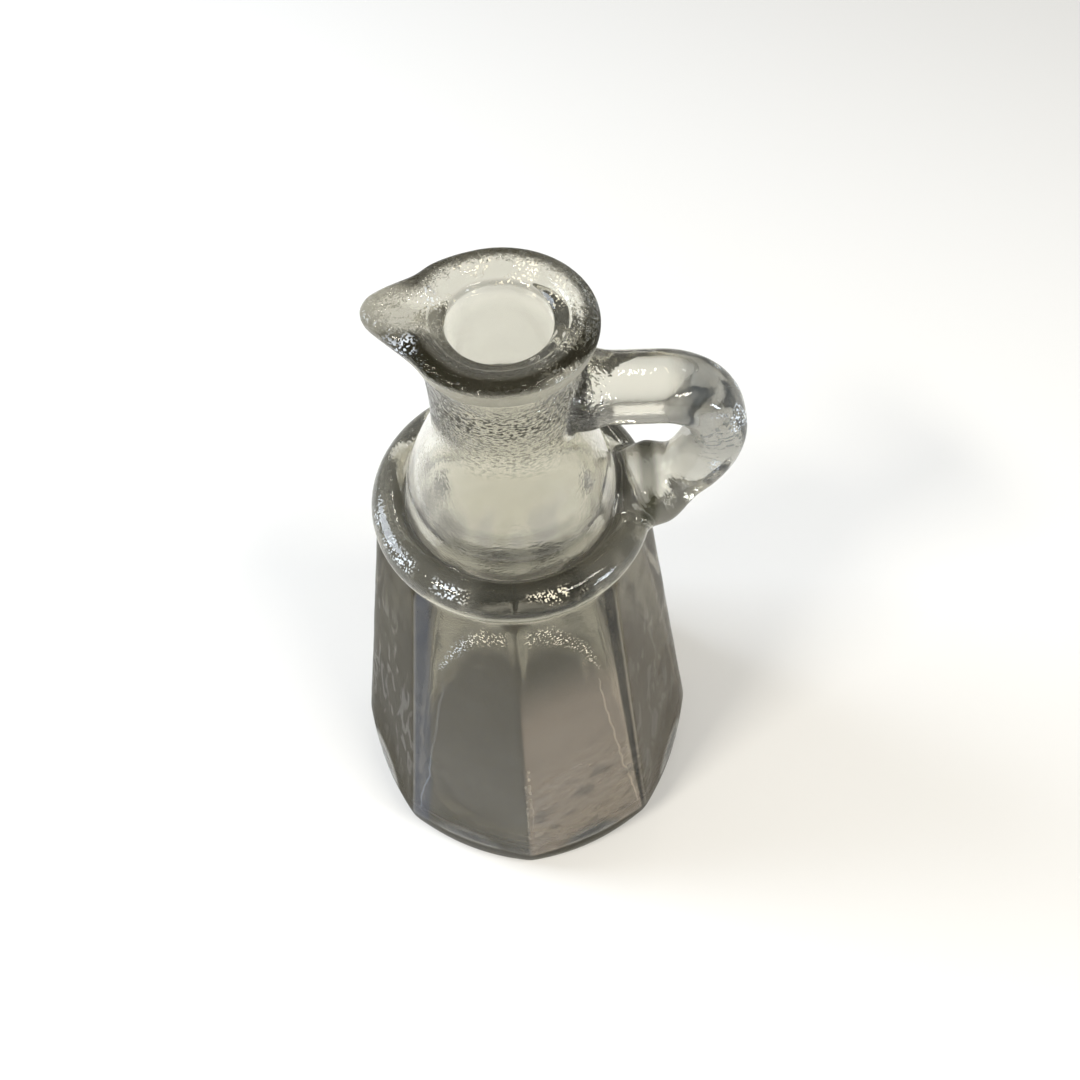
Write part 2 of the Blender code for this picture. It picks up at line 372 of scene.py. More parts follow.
class SweepTree:
    """A Geometry Nodes tree that turns a line of stations into a closed skin of rings.

    Each vertex of the line is a station with named attributes. The tree lays a grid, gives each
    grid point its station's attributes and its turn round the ring, moves it where a rule says,
    and merges the seam and the two poles.
    """

    def __init__(self, name: str) -> None:
        """Start the tree with its line of stations.

        Args:
            name: the tree's name.
        """
        self.tree = bpy.data.node_groups.new(name, 'GeometryNodeTree')
        self.kit = NodeKit(self.tree)
        self.tree.interface.new_socket("Geometry", in_out='OUTPUT',
                                       socket_type='NodeSocketGeometry')
        self.values: dict[str, object] = {}
        self.entry = self.tree.nodes.new("NodeGroupInput")
        self.stations = self.add_input("Stations", 'NodeSocketGeometry', None)

    def add_input(self, name: str, kind: str, value: object) -> Field:
        """Add a named input.

        Args:
            name: its name.
            kind: its socket type.
            value: what the modifier gives it, or None for the mesh itself.

        Returns:
            The input as a Field.
        """
        socket = self.tree.interface.new_socket(name, in_out='INPUT', socket_type=kind)
        if value is not None:
            self.values[socket.identifier] = value
        return Field(self.kit, self.entry.outputs[name])

    def size(self, name: str, value: float) -> Field:
        """Add a named input for a size."""
        return self.add_input(name, 'NodeSocketFloat', value)

    def lay_rings(self, around: int) -> tuple[Field, Field]:
        """Lay the grid that the rings are made of.

        Args:
            around: points round a ring.

        Returns:
            The number of each point's station, and its turn round the ring in radians.
        """
        points = self.add_input("Points around", 'NodeSocketInt', around)
        count = self.kit.field("GeometryNodeAttributeDomainSize", "Point Count",
                               {"component": 'MESH'}, {"Geometry": self.stations})
        self.grid = self.kit.field("GeometryNodeMeshGrid", "Mesh", inputs={
            "Vertices X": count, "Vertices Y": points + 1})
        index = self.kit.field("GeometryNodeInputIndex")
        self.station = (index / (points + 1)).math('FLOOR')
        turn = (index - self.station * (points + 1)) / points * math.tau
        return self.station, turn

    def at_station(self, attribute: str) -> Field:
        """Read a named number of the point's station.

        Args:
            attribute: the attribute's name.

        Returns:
            Its value.
        """
        value = self.kit.field("GeometryNodeInputNamedAttribute", settings={
            "data_type": 'FLOAT'}, inputs={"Name": attribute})
        return self.kit.field("GeometryNodeSampleIndex", settings={
            "data_type": 'FLOAT', "domain": 'POINT'}, inputs={
            "Geometry": self.stations, "Value": value, "Index": self.station})

    def finish(self, place: Field, material: bpy.types.Material) -> None:
        """Move the points, close the skin and give it its material.

        Args:
            place: where each point of the grid goes.
            material: the finish of the skin.
        """
        kit = self.kit
        moved = kit.field("GeometryNodeSetPosition", inputs={
            "Geometry": self.grid, "Position": place})
        closed = kit.field("GeometryNodeMergeByDistance", inputs={
            "Geometry": moved, "Distance": MERGE_WITHIN})
        smoothed = kit.field("GeometryNodeSetShadeSmooth", inputs={"Geometry": closed})
        real = kit.field("GeometryNodeRealizeInstances", inputs={"Geometry": smoothed})
        dressed = kit.field("GeometryNodeSetMaterial", inputs={
            "Geometry": real,
            "Material": self.add_input("Finish", 'NodeSocketMaterial', material)})
        kit.node("NodeGroupOutput", inputs={"Geometry": dressed})

    def sweep(self, name: str, stations: list[dict[str, float]]) -> bpy.types.Object:
        """Run the tree over a line of stations.

        Args:
            name: name of the object.
            stations: the attributes of each station in turn.

        Returns:
            An object with the skin as a plain mesh.
        """
        line = bpy.data.meshes.new(name)
        line.from_pydata([(0.0, 0.0, float(i)) for i in range(len(stations))],
                         [(i, i + 1) for i in range(len(stations) - 1)], [])
        for key in stations[0]:
            values = line.attributes.new(key, 'FLOAT', 'POINT')
            values.data.foreach_set("value", [station[key] for station in stations])
        piece = new_object(name, line)
        modifier = piece.modifiers.new("sweep", 'NODES')
        modifier.node_group = self.tree
        for identifier, value in self.values.items():
            modifier[identifier] = value
        return as_plain_mesh(piece)


def as_plain_mesh(piece: bpy.types.Object) -> bpy.types.Object:
    """Apply a piece's modifiers.

    Args:
        piece: the object.

    Returns:
        The same object, with the result as its mesh and no modifiers.
    """
    bpy.context.view_layer.update()
    graph = bpy.context.evaluated_depsgraph_get()
    mesh = bpy.data.meshes.new_from_object(piece.evaluated_get(graph))
    piece.modifiers.clear()
    piece.data = mesh
    return piece


def face_outwards(mesh: bpy.types.Mesh) -> None:
    """Turn all faces of a closed mesh outwards.

    Args:
        mesh: the mesh, which is changed.
    """
    bm = bmesh.new()
    bm.from_mesh(mesh)
    bmesh.ops.recalc_face_normals(bm, faces=bm.faces)
    if bm.calc_volume(signed=True) < 0.0:
        bmesh.ops.reverse_faces(bm, faces=bm.faces)
    bm.to_mesh(mesh)
    bm.free()


# ---- the vessel ----------------------------------------------------------------------------
@dataclass
class Body:
    """Panelled body: radii are measured at the ridges between the panels."""

    panels: int = 8
    foot_radius: float = 0.0350
    heel_radius: float = 0.0373
    heel_height: float = 0.0095
    foot_flatness: float = 0.15
    heel_flatness: float = 0.52
    panels_flat: float = 0.0280
    panel_top: float = 0.0905
    panel_top_radius: float = 0.0236
    ridge_sharpness: float = 130.0
    wave: float = 0.00012            # how far the panels swim
    heel_rings: int = 16
    panel_rings: int = 40

    @property
    def slope(self) -> float:
        """How much the panels lean in for each metre of height."""
        return (self.heel_radius - self.panel_top_radius) / (self.panel_top - self.heel_height)

    def radius(self, height: float) -> float:
        """Radius of the panels' ridges at a height."""
        return self.heel_radius - self.slope * (height - self.heel_height)

    def rings(self) -> list[Ring]:
        """Rings of the foot, the heel and the panels, from the axis up.

        Returns:
            The rings.
        """
        rings = [Ring(0.0, 0.0), Ring(self.foot_radius, 0.0, self.foot_flatness)]
        for share in steps(self.heel_rings)[1:]:
            turn = share * QUARTER
            rings.append(Ring(mix(self.foot_radius, self.heel_radius, math.sin(turn)),
                              self.heel_height * (1.0 - math.cos(turn)),
                              mix(self.foot_flatness, self.heel_flatness, share)))
        for height in steps(self.panel_rings, self.heel_height, self.panel_top)[1:]:
            rising = min((height - self.heel_height) / (self.panels_flat - self.heel_height), 1.0)
            flatness = mix(self.heel_flatness, 1.0, math.sin(rising * QUARTER))
            rings.append(Ring(self.radius(height), height, flatness, 0.0, self.wave))
        return rings


@dataclass
class Collar:
    """Rounded bead that overhangs the panels, with a channel inside it."""

    radius: float = 0.0203
    height: float = 0.0949
    bead_radial: float = 0.0035
    bead_axial: float = 0.0036
    channel_radius: float = 0.0180
    channel_height: float = 0.0966
    underside: float = math.radians(-50)       # turns round the bead where its rings start
    inner_side: float = math.radians(120)      # and end
    bead_rings: int = 24

    def rings(self) -> list[Ring]:
        """Rings of the bead, from its underside over the top into the channel.

        Returns:
            The rings.
        """
        rings = []
        for turn in steps(self.bead_rings, self.underside, self.inner_side):
            rings.append(Ring(self.radius + self.bead_radial * math.cos(turn),
                              self.height + self.bead_axial * math.sin(turn)))
        rings.append(Ring(self.channel_radius, self.channel_height))
        return rings


@dataclass
class Neck:
    """Bell-shaped shoulder and neck."""

    shoulder_radius: float = 0.0174
    shoulder_height: float = 0.0990
    radius: float = 0.0112
    foot: float = 0.1200
    top: float = 0.1334
    shoulder_rings: int = 30
    # depth under the top, and how far the ring there follows the lip
    lip_starts: tuple[Span, ...] = ((0.0069, 0.0), (0.0019, 0.15), (0.0, 0.30))

    def rings(self) -> list[Ring]:
        """Rings of the shoulder and the neck, which start to follow the lip.

        Returns:
            The rings.
        """
        rings = []
        for height in steps(self.shoulder_rings, self.shoulder_height, self.foot):
            share = (self.foot - height) / (self.foot - self.shoulder_height)
            rings.append(Ring(mix(self.radius, self.shoulder_radius, smooth(share)), height))
        return rings + [Ring(self.radius, self.top - below, lip=lip)
                        for below, lip in self.lip_starts]


@dataclass
class Rim:
    """Rounded rim with a pouring lip at -X."""

    radius: float = 0.0140
    step_radius: float = 0.0128      # edge of the step out from the neck
    step: float = 0.1339
    wall_radius: float = 0.0134
    wall: float = 0.1350
    middle: float = 0.1370
    below: float = 0.0013            # half height of the rounding below its middle
    crest: float = 0.1384
    crest_inset: float = 0.0026
    lip_reach: float = 0.0188
    lip_tip_radius: float = 0.0040
    lip_pinch: float = 0.0006
    lip_gather: float = 0.30
    lip_rise: float = 0.0022
    lip_spread: float = math.radians(75)
    lip_at_step: float = 0.45        # how far the step and the wall follow the lip
    lip_at_wall: float = 0.72
    roll_from: float = math.radians(-12)
    roll_rings: int = 16

    def rings(self) -> list[Ring]:
        """Rings of the rim, from the step over the neck up its wall and over the crest.

        Returns:
            The rings.
        """
        crest_radius = self.radius - self.crest_inset
        rings = [Ring(self.step_radius, self.step, lip=self.lip_at_step),
                 Ring(self.wall_radius, self.wall, lip=self.lip_at_wall)]
        for turn in steps(self.roll_rings, self.roll_from, QUARTER):
            drop = self.below if turn < 0 else self.crest - self.middle
            rings.append(Ring(crest_radius + self.crest_inset * math.cos(turn),
                              self.middle + drop * math.sin(turn), lip=1.0))
        return rings


@dataclass
class Inside:
    """Funnel, bore and cavity."""

    bore_radius: float = 0.0074
    bore_top: float = 0.1370
    bore_foot: float = 0.1190
    shoulder_wall: float = 0.0030
    cavity_shoulder: float = 0.0985
    panel_wall: float = 0.0038
    wall_growth: float = 0.095       # the wall thickens by this much for each metre of height
    wall_grows_from: float = 0.0420
    flatness: float = 0.60
    floor_flatness: float = 0.25
    panel_top: float = 0.0850
    heel: float = 0.0120
    floor_radius: float = 0.0290
    floor_height: float = 0.0055
    wave: float = 0.00030            # how far the inner skin swims
    funnel_rings: int = 10
    bore_rings: int = 10
    shoulder_rings: int = 20
    panel_rings: int = 20
    floor_rings: int = 12

    def rings(self, body: Body, neck: Neck, rim: Rim) -> list[Ring]:
        """Rings of the inner skin, from the rim down to the axis.

        Args:
            body: the panels outside the cavity.
            neck: the shoulder outside it.
            rim: the rim over it.

        Returns:
            The rings.
        """
        crest_radius = rim.radius - rim.crest_inset
        rings = []
        for share in steps(self.funnel_rings)[1:-1]:
            rings.append(Ring(mix(crest_radius, self.bore_radius, share),
                              mix(rim.crest, self.bore_top, smooth(share)), lip=1.0 - share))
        rings += [Ring(self.bore_radius, height)
                  for height in steps(self.bore_rings, self.bore_top, self.bore_foot)]
        wide = neck.shoulder_radius - self.shoulder_wall
        for share in steps(self.shoulder_rings)[1:]:
            rings.append(Ring(mix(self.bore_radius, wide, smooth(share)),
                              mix(self.bore_foot, self.cavity_shoulder, share)))
        for height in steps(self.panel_rings, self.panel_top, self.heel):
            wall = self.panel_wall + self.wall_growth * max(height - self.wall_grows_from, 0.0)
            squared = smooth(height / self.wall_grows_from)
            rings.append(Ring(body.radius(height) - wall, height,
                              mix(self.floor_flatness, self.flatness, squared), 0.0, self.wave))
        lowest = rings[-1].radius
        for share in steps(self.floor_rings)[1:]:
            turn = share * QUARTER
            rings.append(Ring(mix(lowest, self.floor_radius, 1.0 - math.cos(turn)),
                              mix(self.heel, self.floor_height, math.sin(turn)),
                              mix(self.floor_flatness, 0.0, share), 0.0, self.wave))
        rings.append(Ring(0.0, self.floor_height))
        return rings


@dataclass
class Vessel:
    """The hollow vessel, one closed skin from the underside round the rim to the inner floor."""

    body: Body = field(default_factory=Body)
    collar: Collar = field(default_factory=Collar)
    neck: Neck = field(default_factory=Neck)
    rim: Rim = field(default_factory=Rim)
    inside: Inside = field(default_factory=Inside)
    points_around: int = 240
    fine_step: float = 0.00025       # spacing at which the profile's corners are eased
    ease_radius: float = 0.0005      # how far the easing reaches
    close_rings: float = 0.0005      # spacing of the finished rings where the profile turns
    far_rings: float = 0.0022        # and where it runs straight
    busy_reach: float = 0.002        # how far on both sides a turn brings the rings closer
    busy_turn: float = 150.0         # turn for each metre that brings them fully close
    wave_size: float = 0.011         # length of the waves in the glass
    seed: float = 3.0

    def profile(self) -> list[Ring]:
        """The rings of the whole skin as they are drawn, with plain corners."""
        return (self.body.rings() + self.collar.rings() + self.neck.rings()
                + self.rim.rings()
                + self.inside.rings(self.body, self.neck, self.rim))

    def eased_profile(self) -> list[Ring]:
        """The profile with its corners eased, and rings set closer where it turns.

        Returns:
            The rings.
        """
        drawn = np.array([tuple(ring) for ring in self.profile()])
        legs = np.hypot(np.diff(drawn[:, 0]), np.diff(drawn[:, 1]))
        run = np.concatenate([[0.0], np.cumsum(legs)])
        places = np.linspace(0.0, run[-1], int(run[-1] / self.fine_step) + 1)
        fine = np.stack([np.interp(places, run, column) for column in drawn.T], axis=1)
        for _ in range(int(4 * (self.ease_radius / self.fine_step) ** 2)):
            fine[1:-1] += 0.25 * (fine[:-2] - 2.0 * fine[1:-1] + fine[2:])
        fine[0, 0] = fine[-1, 0] = 0.0
        heading = np.unwrap(np.arctan2(np.gradient(fine[:, 1]), np.gradient(fine[:, 0])))
        bend = np.abs(np.gradient(heading)) / self.fine_step
        change = np.abs(np.gradient(fine[:, 3])) / self.fine_step
        reach = int(self.busy_reach / self.fine_step)
        window = np.ones(2 * reach + 1) / (2 * reach + 1)
        busy = np.convolve(bend / self.busy_turn + change / self.busy_turn, window, mode="same")
        density = 1.0 / self.far_rings + np.minimum(busy, 1.0) / self.close_rings
        order = np.concatenate([[0.0], np.cumsum(density[1:] * self.fine_step)])
        wanted = np.linspace(0.0, order[-1], int(order[-1]) + 1)
        picked = np.stack([np.interp(wanted, order, column) for column in fine.T], axis=1)
        return [Ring(*map(float, row)) for row in picked]

    def lip_outline(self, tree: SweepTree, away: Field) -> tuple[Field, Field]:
        """Draw the rim's plan as a circle drawn out to a small round tip.

        Args:
            tree: the tree that the nodes go into.
            away: angle from the tip.

        Returns:
            Plan radius at that angle, and the radius of the plain rim.
        """
        kit = tree.kit
        rim = tree.size("Rim radius", self.rim.radius)
        tip = tree.size("Lip tip radius", self.rim.lip_tip_radius)
        pinch = tree.size("Lip pinch", self.rim.lip_pinch)
        centre = tree.size("Lip reach", self.rim.lip_reach) - tip
        tangent = ((rim - tip) / centre).math('ARCCOSINE')
        edge = (tip * tangent.math('SINE')).math(
            'ARCTAN2', centre + tip * tangent.math('COSINE'))
        drawn_in = ((away - edge) / (tangent - edge) * math.pi).math('SINE') ** 2.0
        side = rim / (tangent - away).math('COSINE') - pinch * drawn_in
        across = centre * away.math('SINE')
        nose = centre * away.math('COSINE') + (tip * tip - across * across).math('SQRT')
        outline = kit.choose(away > tangent, rim, kit.choose(away > edge, side, nose))
        return outline, rim

    def build(self, material: bpy.types.Material) -> bpy.types.Object:
        """Sweep the vessel.

        Args:
            material: the glass.

        Returns:
            The vessel as a closed plain mesh.
        """
        tree = SweepTree("vessel_rings")
        kit = tree.kit
        _, turn = tree.lay_rings(self.points_around)
        radius, height = tree.at_station("radius"), tree.at_station("height")
        flatness, lip = tree.at_station("flatness"), tree.at_station("lip")
        angle = turn + lip * tree.size("Lip gather", self.rim.lip_gather) * turn.math('SINE')
        away = abs(angle - math.pi)

        half = math.pi / tree.size("Panels", float(self.body.panels))
        sharp = tree.size("Ridge sharpness", self.body.ridge_sharpness)
        beside = abs(angle % (half * 2.0) - half)
        near = beside.math('COSINE') ** sharp
        far = (half * 2.0 - beside).math('COSINE') ** sharp
        sides = half.math('COSINE') * (near + far) ** (-1.0 / sharp)
        plan = 1.0 + flatness * (sides - 1.0)

        outline, rim = self.lip_outline(tree, away)
        reach = radius * plan + lip * (outline - rim)
        spread = tree.size("Lip spread", self.rim.lip_spread)
        rise = tree.size("Lip rise", self.rim.lip_rise) * lip * away.ramp(spread, 0.0)

        drawn = kit.vector(reach * angle.math('COSINE'), reach * angle.math('SINE'),
                           height + rise)
        swim = kit.noise(drawn, self.wave_size, 1.0, seed=tree.size("Seed", self.seed))
        reach = reach + tree.at_station("wave") * (swim - 0.5) * 2.0
        place = kit.vector(reach * angle.math('COSINE'), reach * angle.math('SINE'),
                           height + rise)
        tree.finish(place, material)
        stations = [ring._asdict() for ring in self.eased_profile()]
        vessel = tree.sweep("pitcher_glass", stations)
        face_outwards(vessel.data)
        return vessel


# ---- the handle ----------------------------------------------------------------------------
@dataclass
class Handle:
    """Ear-shaped handle in the plane y = 0: an arm, two arcs and a straight foot."""

    upper_width: float = 0.0114
    lower_width: float = 0.0098
    arm_thickness: float = 0.0080
    bend_thickness: float = 0.0090
    foot_thickness: float = 0.0076
    top: float = 0.1224
    reach: float = 0.0325
    bend_radius: float = 0.0095
    sweep_radius: float = 0.0175
    sweep_angle: float = math.radians(60)
    root_x: float = 0.0094
    foot_x: float = 0.0184
    upper_flare: float = 0.22
    lower_flare: float = 0.45
    flare_length: float = 0.0050
    squareness: float = 2.8
    points_around: int = 56
    spacing: float = 0.0006

    def path(self) -> list[tuple[float, float, float]]:
        """Walk along the centre line.

        Returns:
            Places on it, each as x, z and the turn of its direction.
        """
        bend_x = self.reach - self.bend_radius
        middle_z = self.top - self.bend_radius
        sweep_x = self.reach - self.sweep_radius
        arm = bend_x - self.root_x
        path = [(x, self.top, 0.0)
                for x in steps(round(arm / self.spacing), self.root_x, bend_x)[:-1]]
        bend_length = self.bend_radius * QUARTER
        for turn in steps(round(bend_length / self.spacing), 0.0, QUARTER)[:-1]:
            path.append((bend_x + self.bend_radius * math.sin(turn),
                         middle_z + self.bend_radius * math.cos(turn), turn))
        sweep_length = self.sweep_radius * self.sweep_angle
        for turn in steps(round(sweep_length / self.spacing), 0.0, self.sweep_angle):
            path.append((sweep_x + self.sweep_radius * math.cos(turn),
                         middle_z - self.sweep_radius * math.sin(turn), QUARTER + turn))
        end_x, end_z, turn = path[-1]
        run = (end_x - self.foot_x) / -math.cos(turn)
        for share in steps(round(run / self.spacing))[1:]:
            path.append((end_x + share * run * math.cos(turn),
                         end_z - share * run * math.sin(turn), turn))
        return path

    def thickness(self, turn: float) -> float:
        """Thickness of the section in the plane of the handle.

        Args:
            turn: direction of the centre line, 0 along the arm and a quarter turn at the bend.

        Returns:
            The thickness, largest at the outermost place.
        """
        if turn < QUARTER:
            return mix(self.arm_thickness, self.bend_thickness, smooth(turn / QUARTER))
        return mix(self.bend_thickness, self.foot_thickness,
                   smooth((turn - QUARTER) / self.sweep_angle))

    def stations(self, neck: Neck, collar: Collar) -> list[dict[str, float]]:
        """Sizes of the section at each place, with a pole at each end.

        Args:
            neck: what the upper arm joins.
            collar: what the foot joins.

        Returns:
            The stations of the sweep.
        """
        stations = []
        for x, z, turn in self.path():
            upper = turn < QUARTER
            wall = neck.radius if upper else collar.radius + collar.bead_radial
            amount = self.upper_flare if upper else self.lower_flare
            flare = 1.0 + amount * (1.0 - smooth((x - wall) / self.flare_length))
            down = turn / (QUARTER + self.sweep_angle)
            stations.append({
                "x": x, "z": z, "turn": turn,
                "width": mix(self.upper_width, self.lower_width, down) * flare,
                "thickness": self.thickness(turn) * (1.0 if upper else flare)})
        poles = [{**stations[end], "width": 0.0, "thickness": 0.0} for end in (0, -1)]
        return [poles[0], *stations, poles[1]]

    def build(self, neck: Neck, collar: Collar,
              material: bpy.types.Material) -> bpy.types.Object:
        """Sweep the handle.

        Args:
            neck: what the upper arm joins.
            collar: what the foot joins.
            material: the glass.

        Returns:
            The handle as a closed plain mesh, which ends inside the walls it joins.
        """
        tree = SweepTree("handle_sections")
        kit = tree.kit
        _, turn_round = tree.lay_rings(self.points_around)
        squareness = tree.size("Squareness", self.squareness)

        def squared(wave: Field) -> Field:
            """Swell a sine or cosine towards a rounded rectangle."""
            return wave.math('SIGN') * abs(wave) ** (2.0 / squareness)

        across = squared(turn_round.math('COSINE')) * tree.at_station("width") * 0.5
        along = squared(turn_round.math('SINE')) * tree.at_station("thickness") * 0.5
        turn = tree.at_station("turn")
        place = kit.vector(tree.at_station("x") + along * turn.math('SINE'), across,
                           tree.at_station("z") + along * turn.math('COSINE'))
        tree.finish(place, material)
        handle = tree.sweep("handle", self.stations(neck, collar))
        face_outwards(handle.data)
        return handle


# ---- the finish ----------------------------------------------------------------------------
class Zone(Enum):
    """Parts of the glass that look different."""

    NECK = auto()
    SHOULDER = auto()
    SHOULDER_LEFT = auto()
    SHOULDER_FOOT = auto()
    FUNNEL = auto()
    RIM = auto()
    PANE = auto()
    STEP = auto()
    BORE = auto()
    BORE_EDGE = auto()
    TROUGH = auto()
    BEAD = auto()
    BEAD_FRONT = auto()
    SIDE_LEFT = auto()
    SIDE_RIGHT = auto()
    FRONT_LEFT = auto()
    FRONT_RIGHT = auto()
    STREAK = auto()
    STREAK_RIGHT = auto()
    HEEL = auto()
    BEND = auto()
    ROOT = auto()


class By(Enum):
    """Measures that tell where an area ends."""

    X = auto()
    Y = auto()
    Z = auto()
    OFF_X = auto()                   # x without its sign
    OFF_Y = auto()                   # y without its sign
    RADIUS = auto()                  # distance from the axis
    ASIDE = auto()                   # x as a share of the radius
    OFF_ASIDE = auto()               # the same without its sign
    AZIMUTH = auto()                 # angle round the axis, 0 at the front
    RIM_HEIGHT = auto()              # z, taken lower at the front
    STREAKS = auto()                 # upright lumps of noise
    PAST_LINE = auto()               # how far past the leaning line of the right front panel


class Mask(Enum):
    """Covers that more than one area keeps to."""

    FRONT = auto()                   # outer side of the two front panels
    SIDES = auto()                   # outer side of the panels beside them
    OFF_TROUGH = auto()              # less in the trough of the lip
    STREAKY = auto()                 # more where the streaks are
    ASIDE = auto()                   # more towards the left and the right


class Edge(NamedTuple):
    """A soft edge of an area: 0 at the outer place and 1 at the inner one."""

    by: By
    outer: float
    inner: float


Area = tuple[Edge, ...]


def band(by: By, low: float, high: float, soft: float) -> Area:
    """Two soft edges that keep what lies between them."""
    return Edge(by, low - soft, low + soft), Edge(by, high + soft, high - soft)


class Pattern(NamedTuple):
    """A noise pattern.

    size: width of its lumps; seed: picks another pattern.
    detail and roughness: how many finer layers it has, and how strong they are.
    swirl: how much the lumps are swirled; squeeze: how flat they lie, below 1 they stand tall.
    span: values of the noise between which the lumps rise.
    """

    size: float
    seed: float = 0.0
    detail: float = 0.0
    roughness: float = 0.5
    swirl: float = 0.0
    squeeze: float = 1.0
    span: Span = (0.0, 1.0)


@dataclass(frozen=True)
class HazeAndPaintedShading:
    """A diffuse layer over the clear glass in one zone, and where the zone lies: a faint haze on
    the neck, painted shade and painted light in the other zones.
    """

    share: float                     # how much of the look it takes over
    colour: Colour
    area: Area = ()
    masks: tuple[Mask, ...] = ()


BEAD_ROUND = (*band(By.Z, 0.0905, 0.0990, 0.0012), Edge(By.RADIUS, 0.0180, 0.0190))
FUNNEL_TOP = Edge(By.Z, 0.1360, 0.1366)
RIM_TOP = (Edge(By.RIM_HEIGHT, 0.1361, 0.1368), Edge(By.RADIUS, 0.0107, 0.0120))
SHOULDER_SKIN = Edge(By.RADIUS, 0.0125, 0.0145)

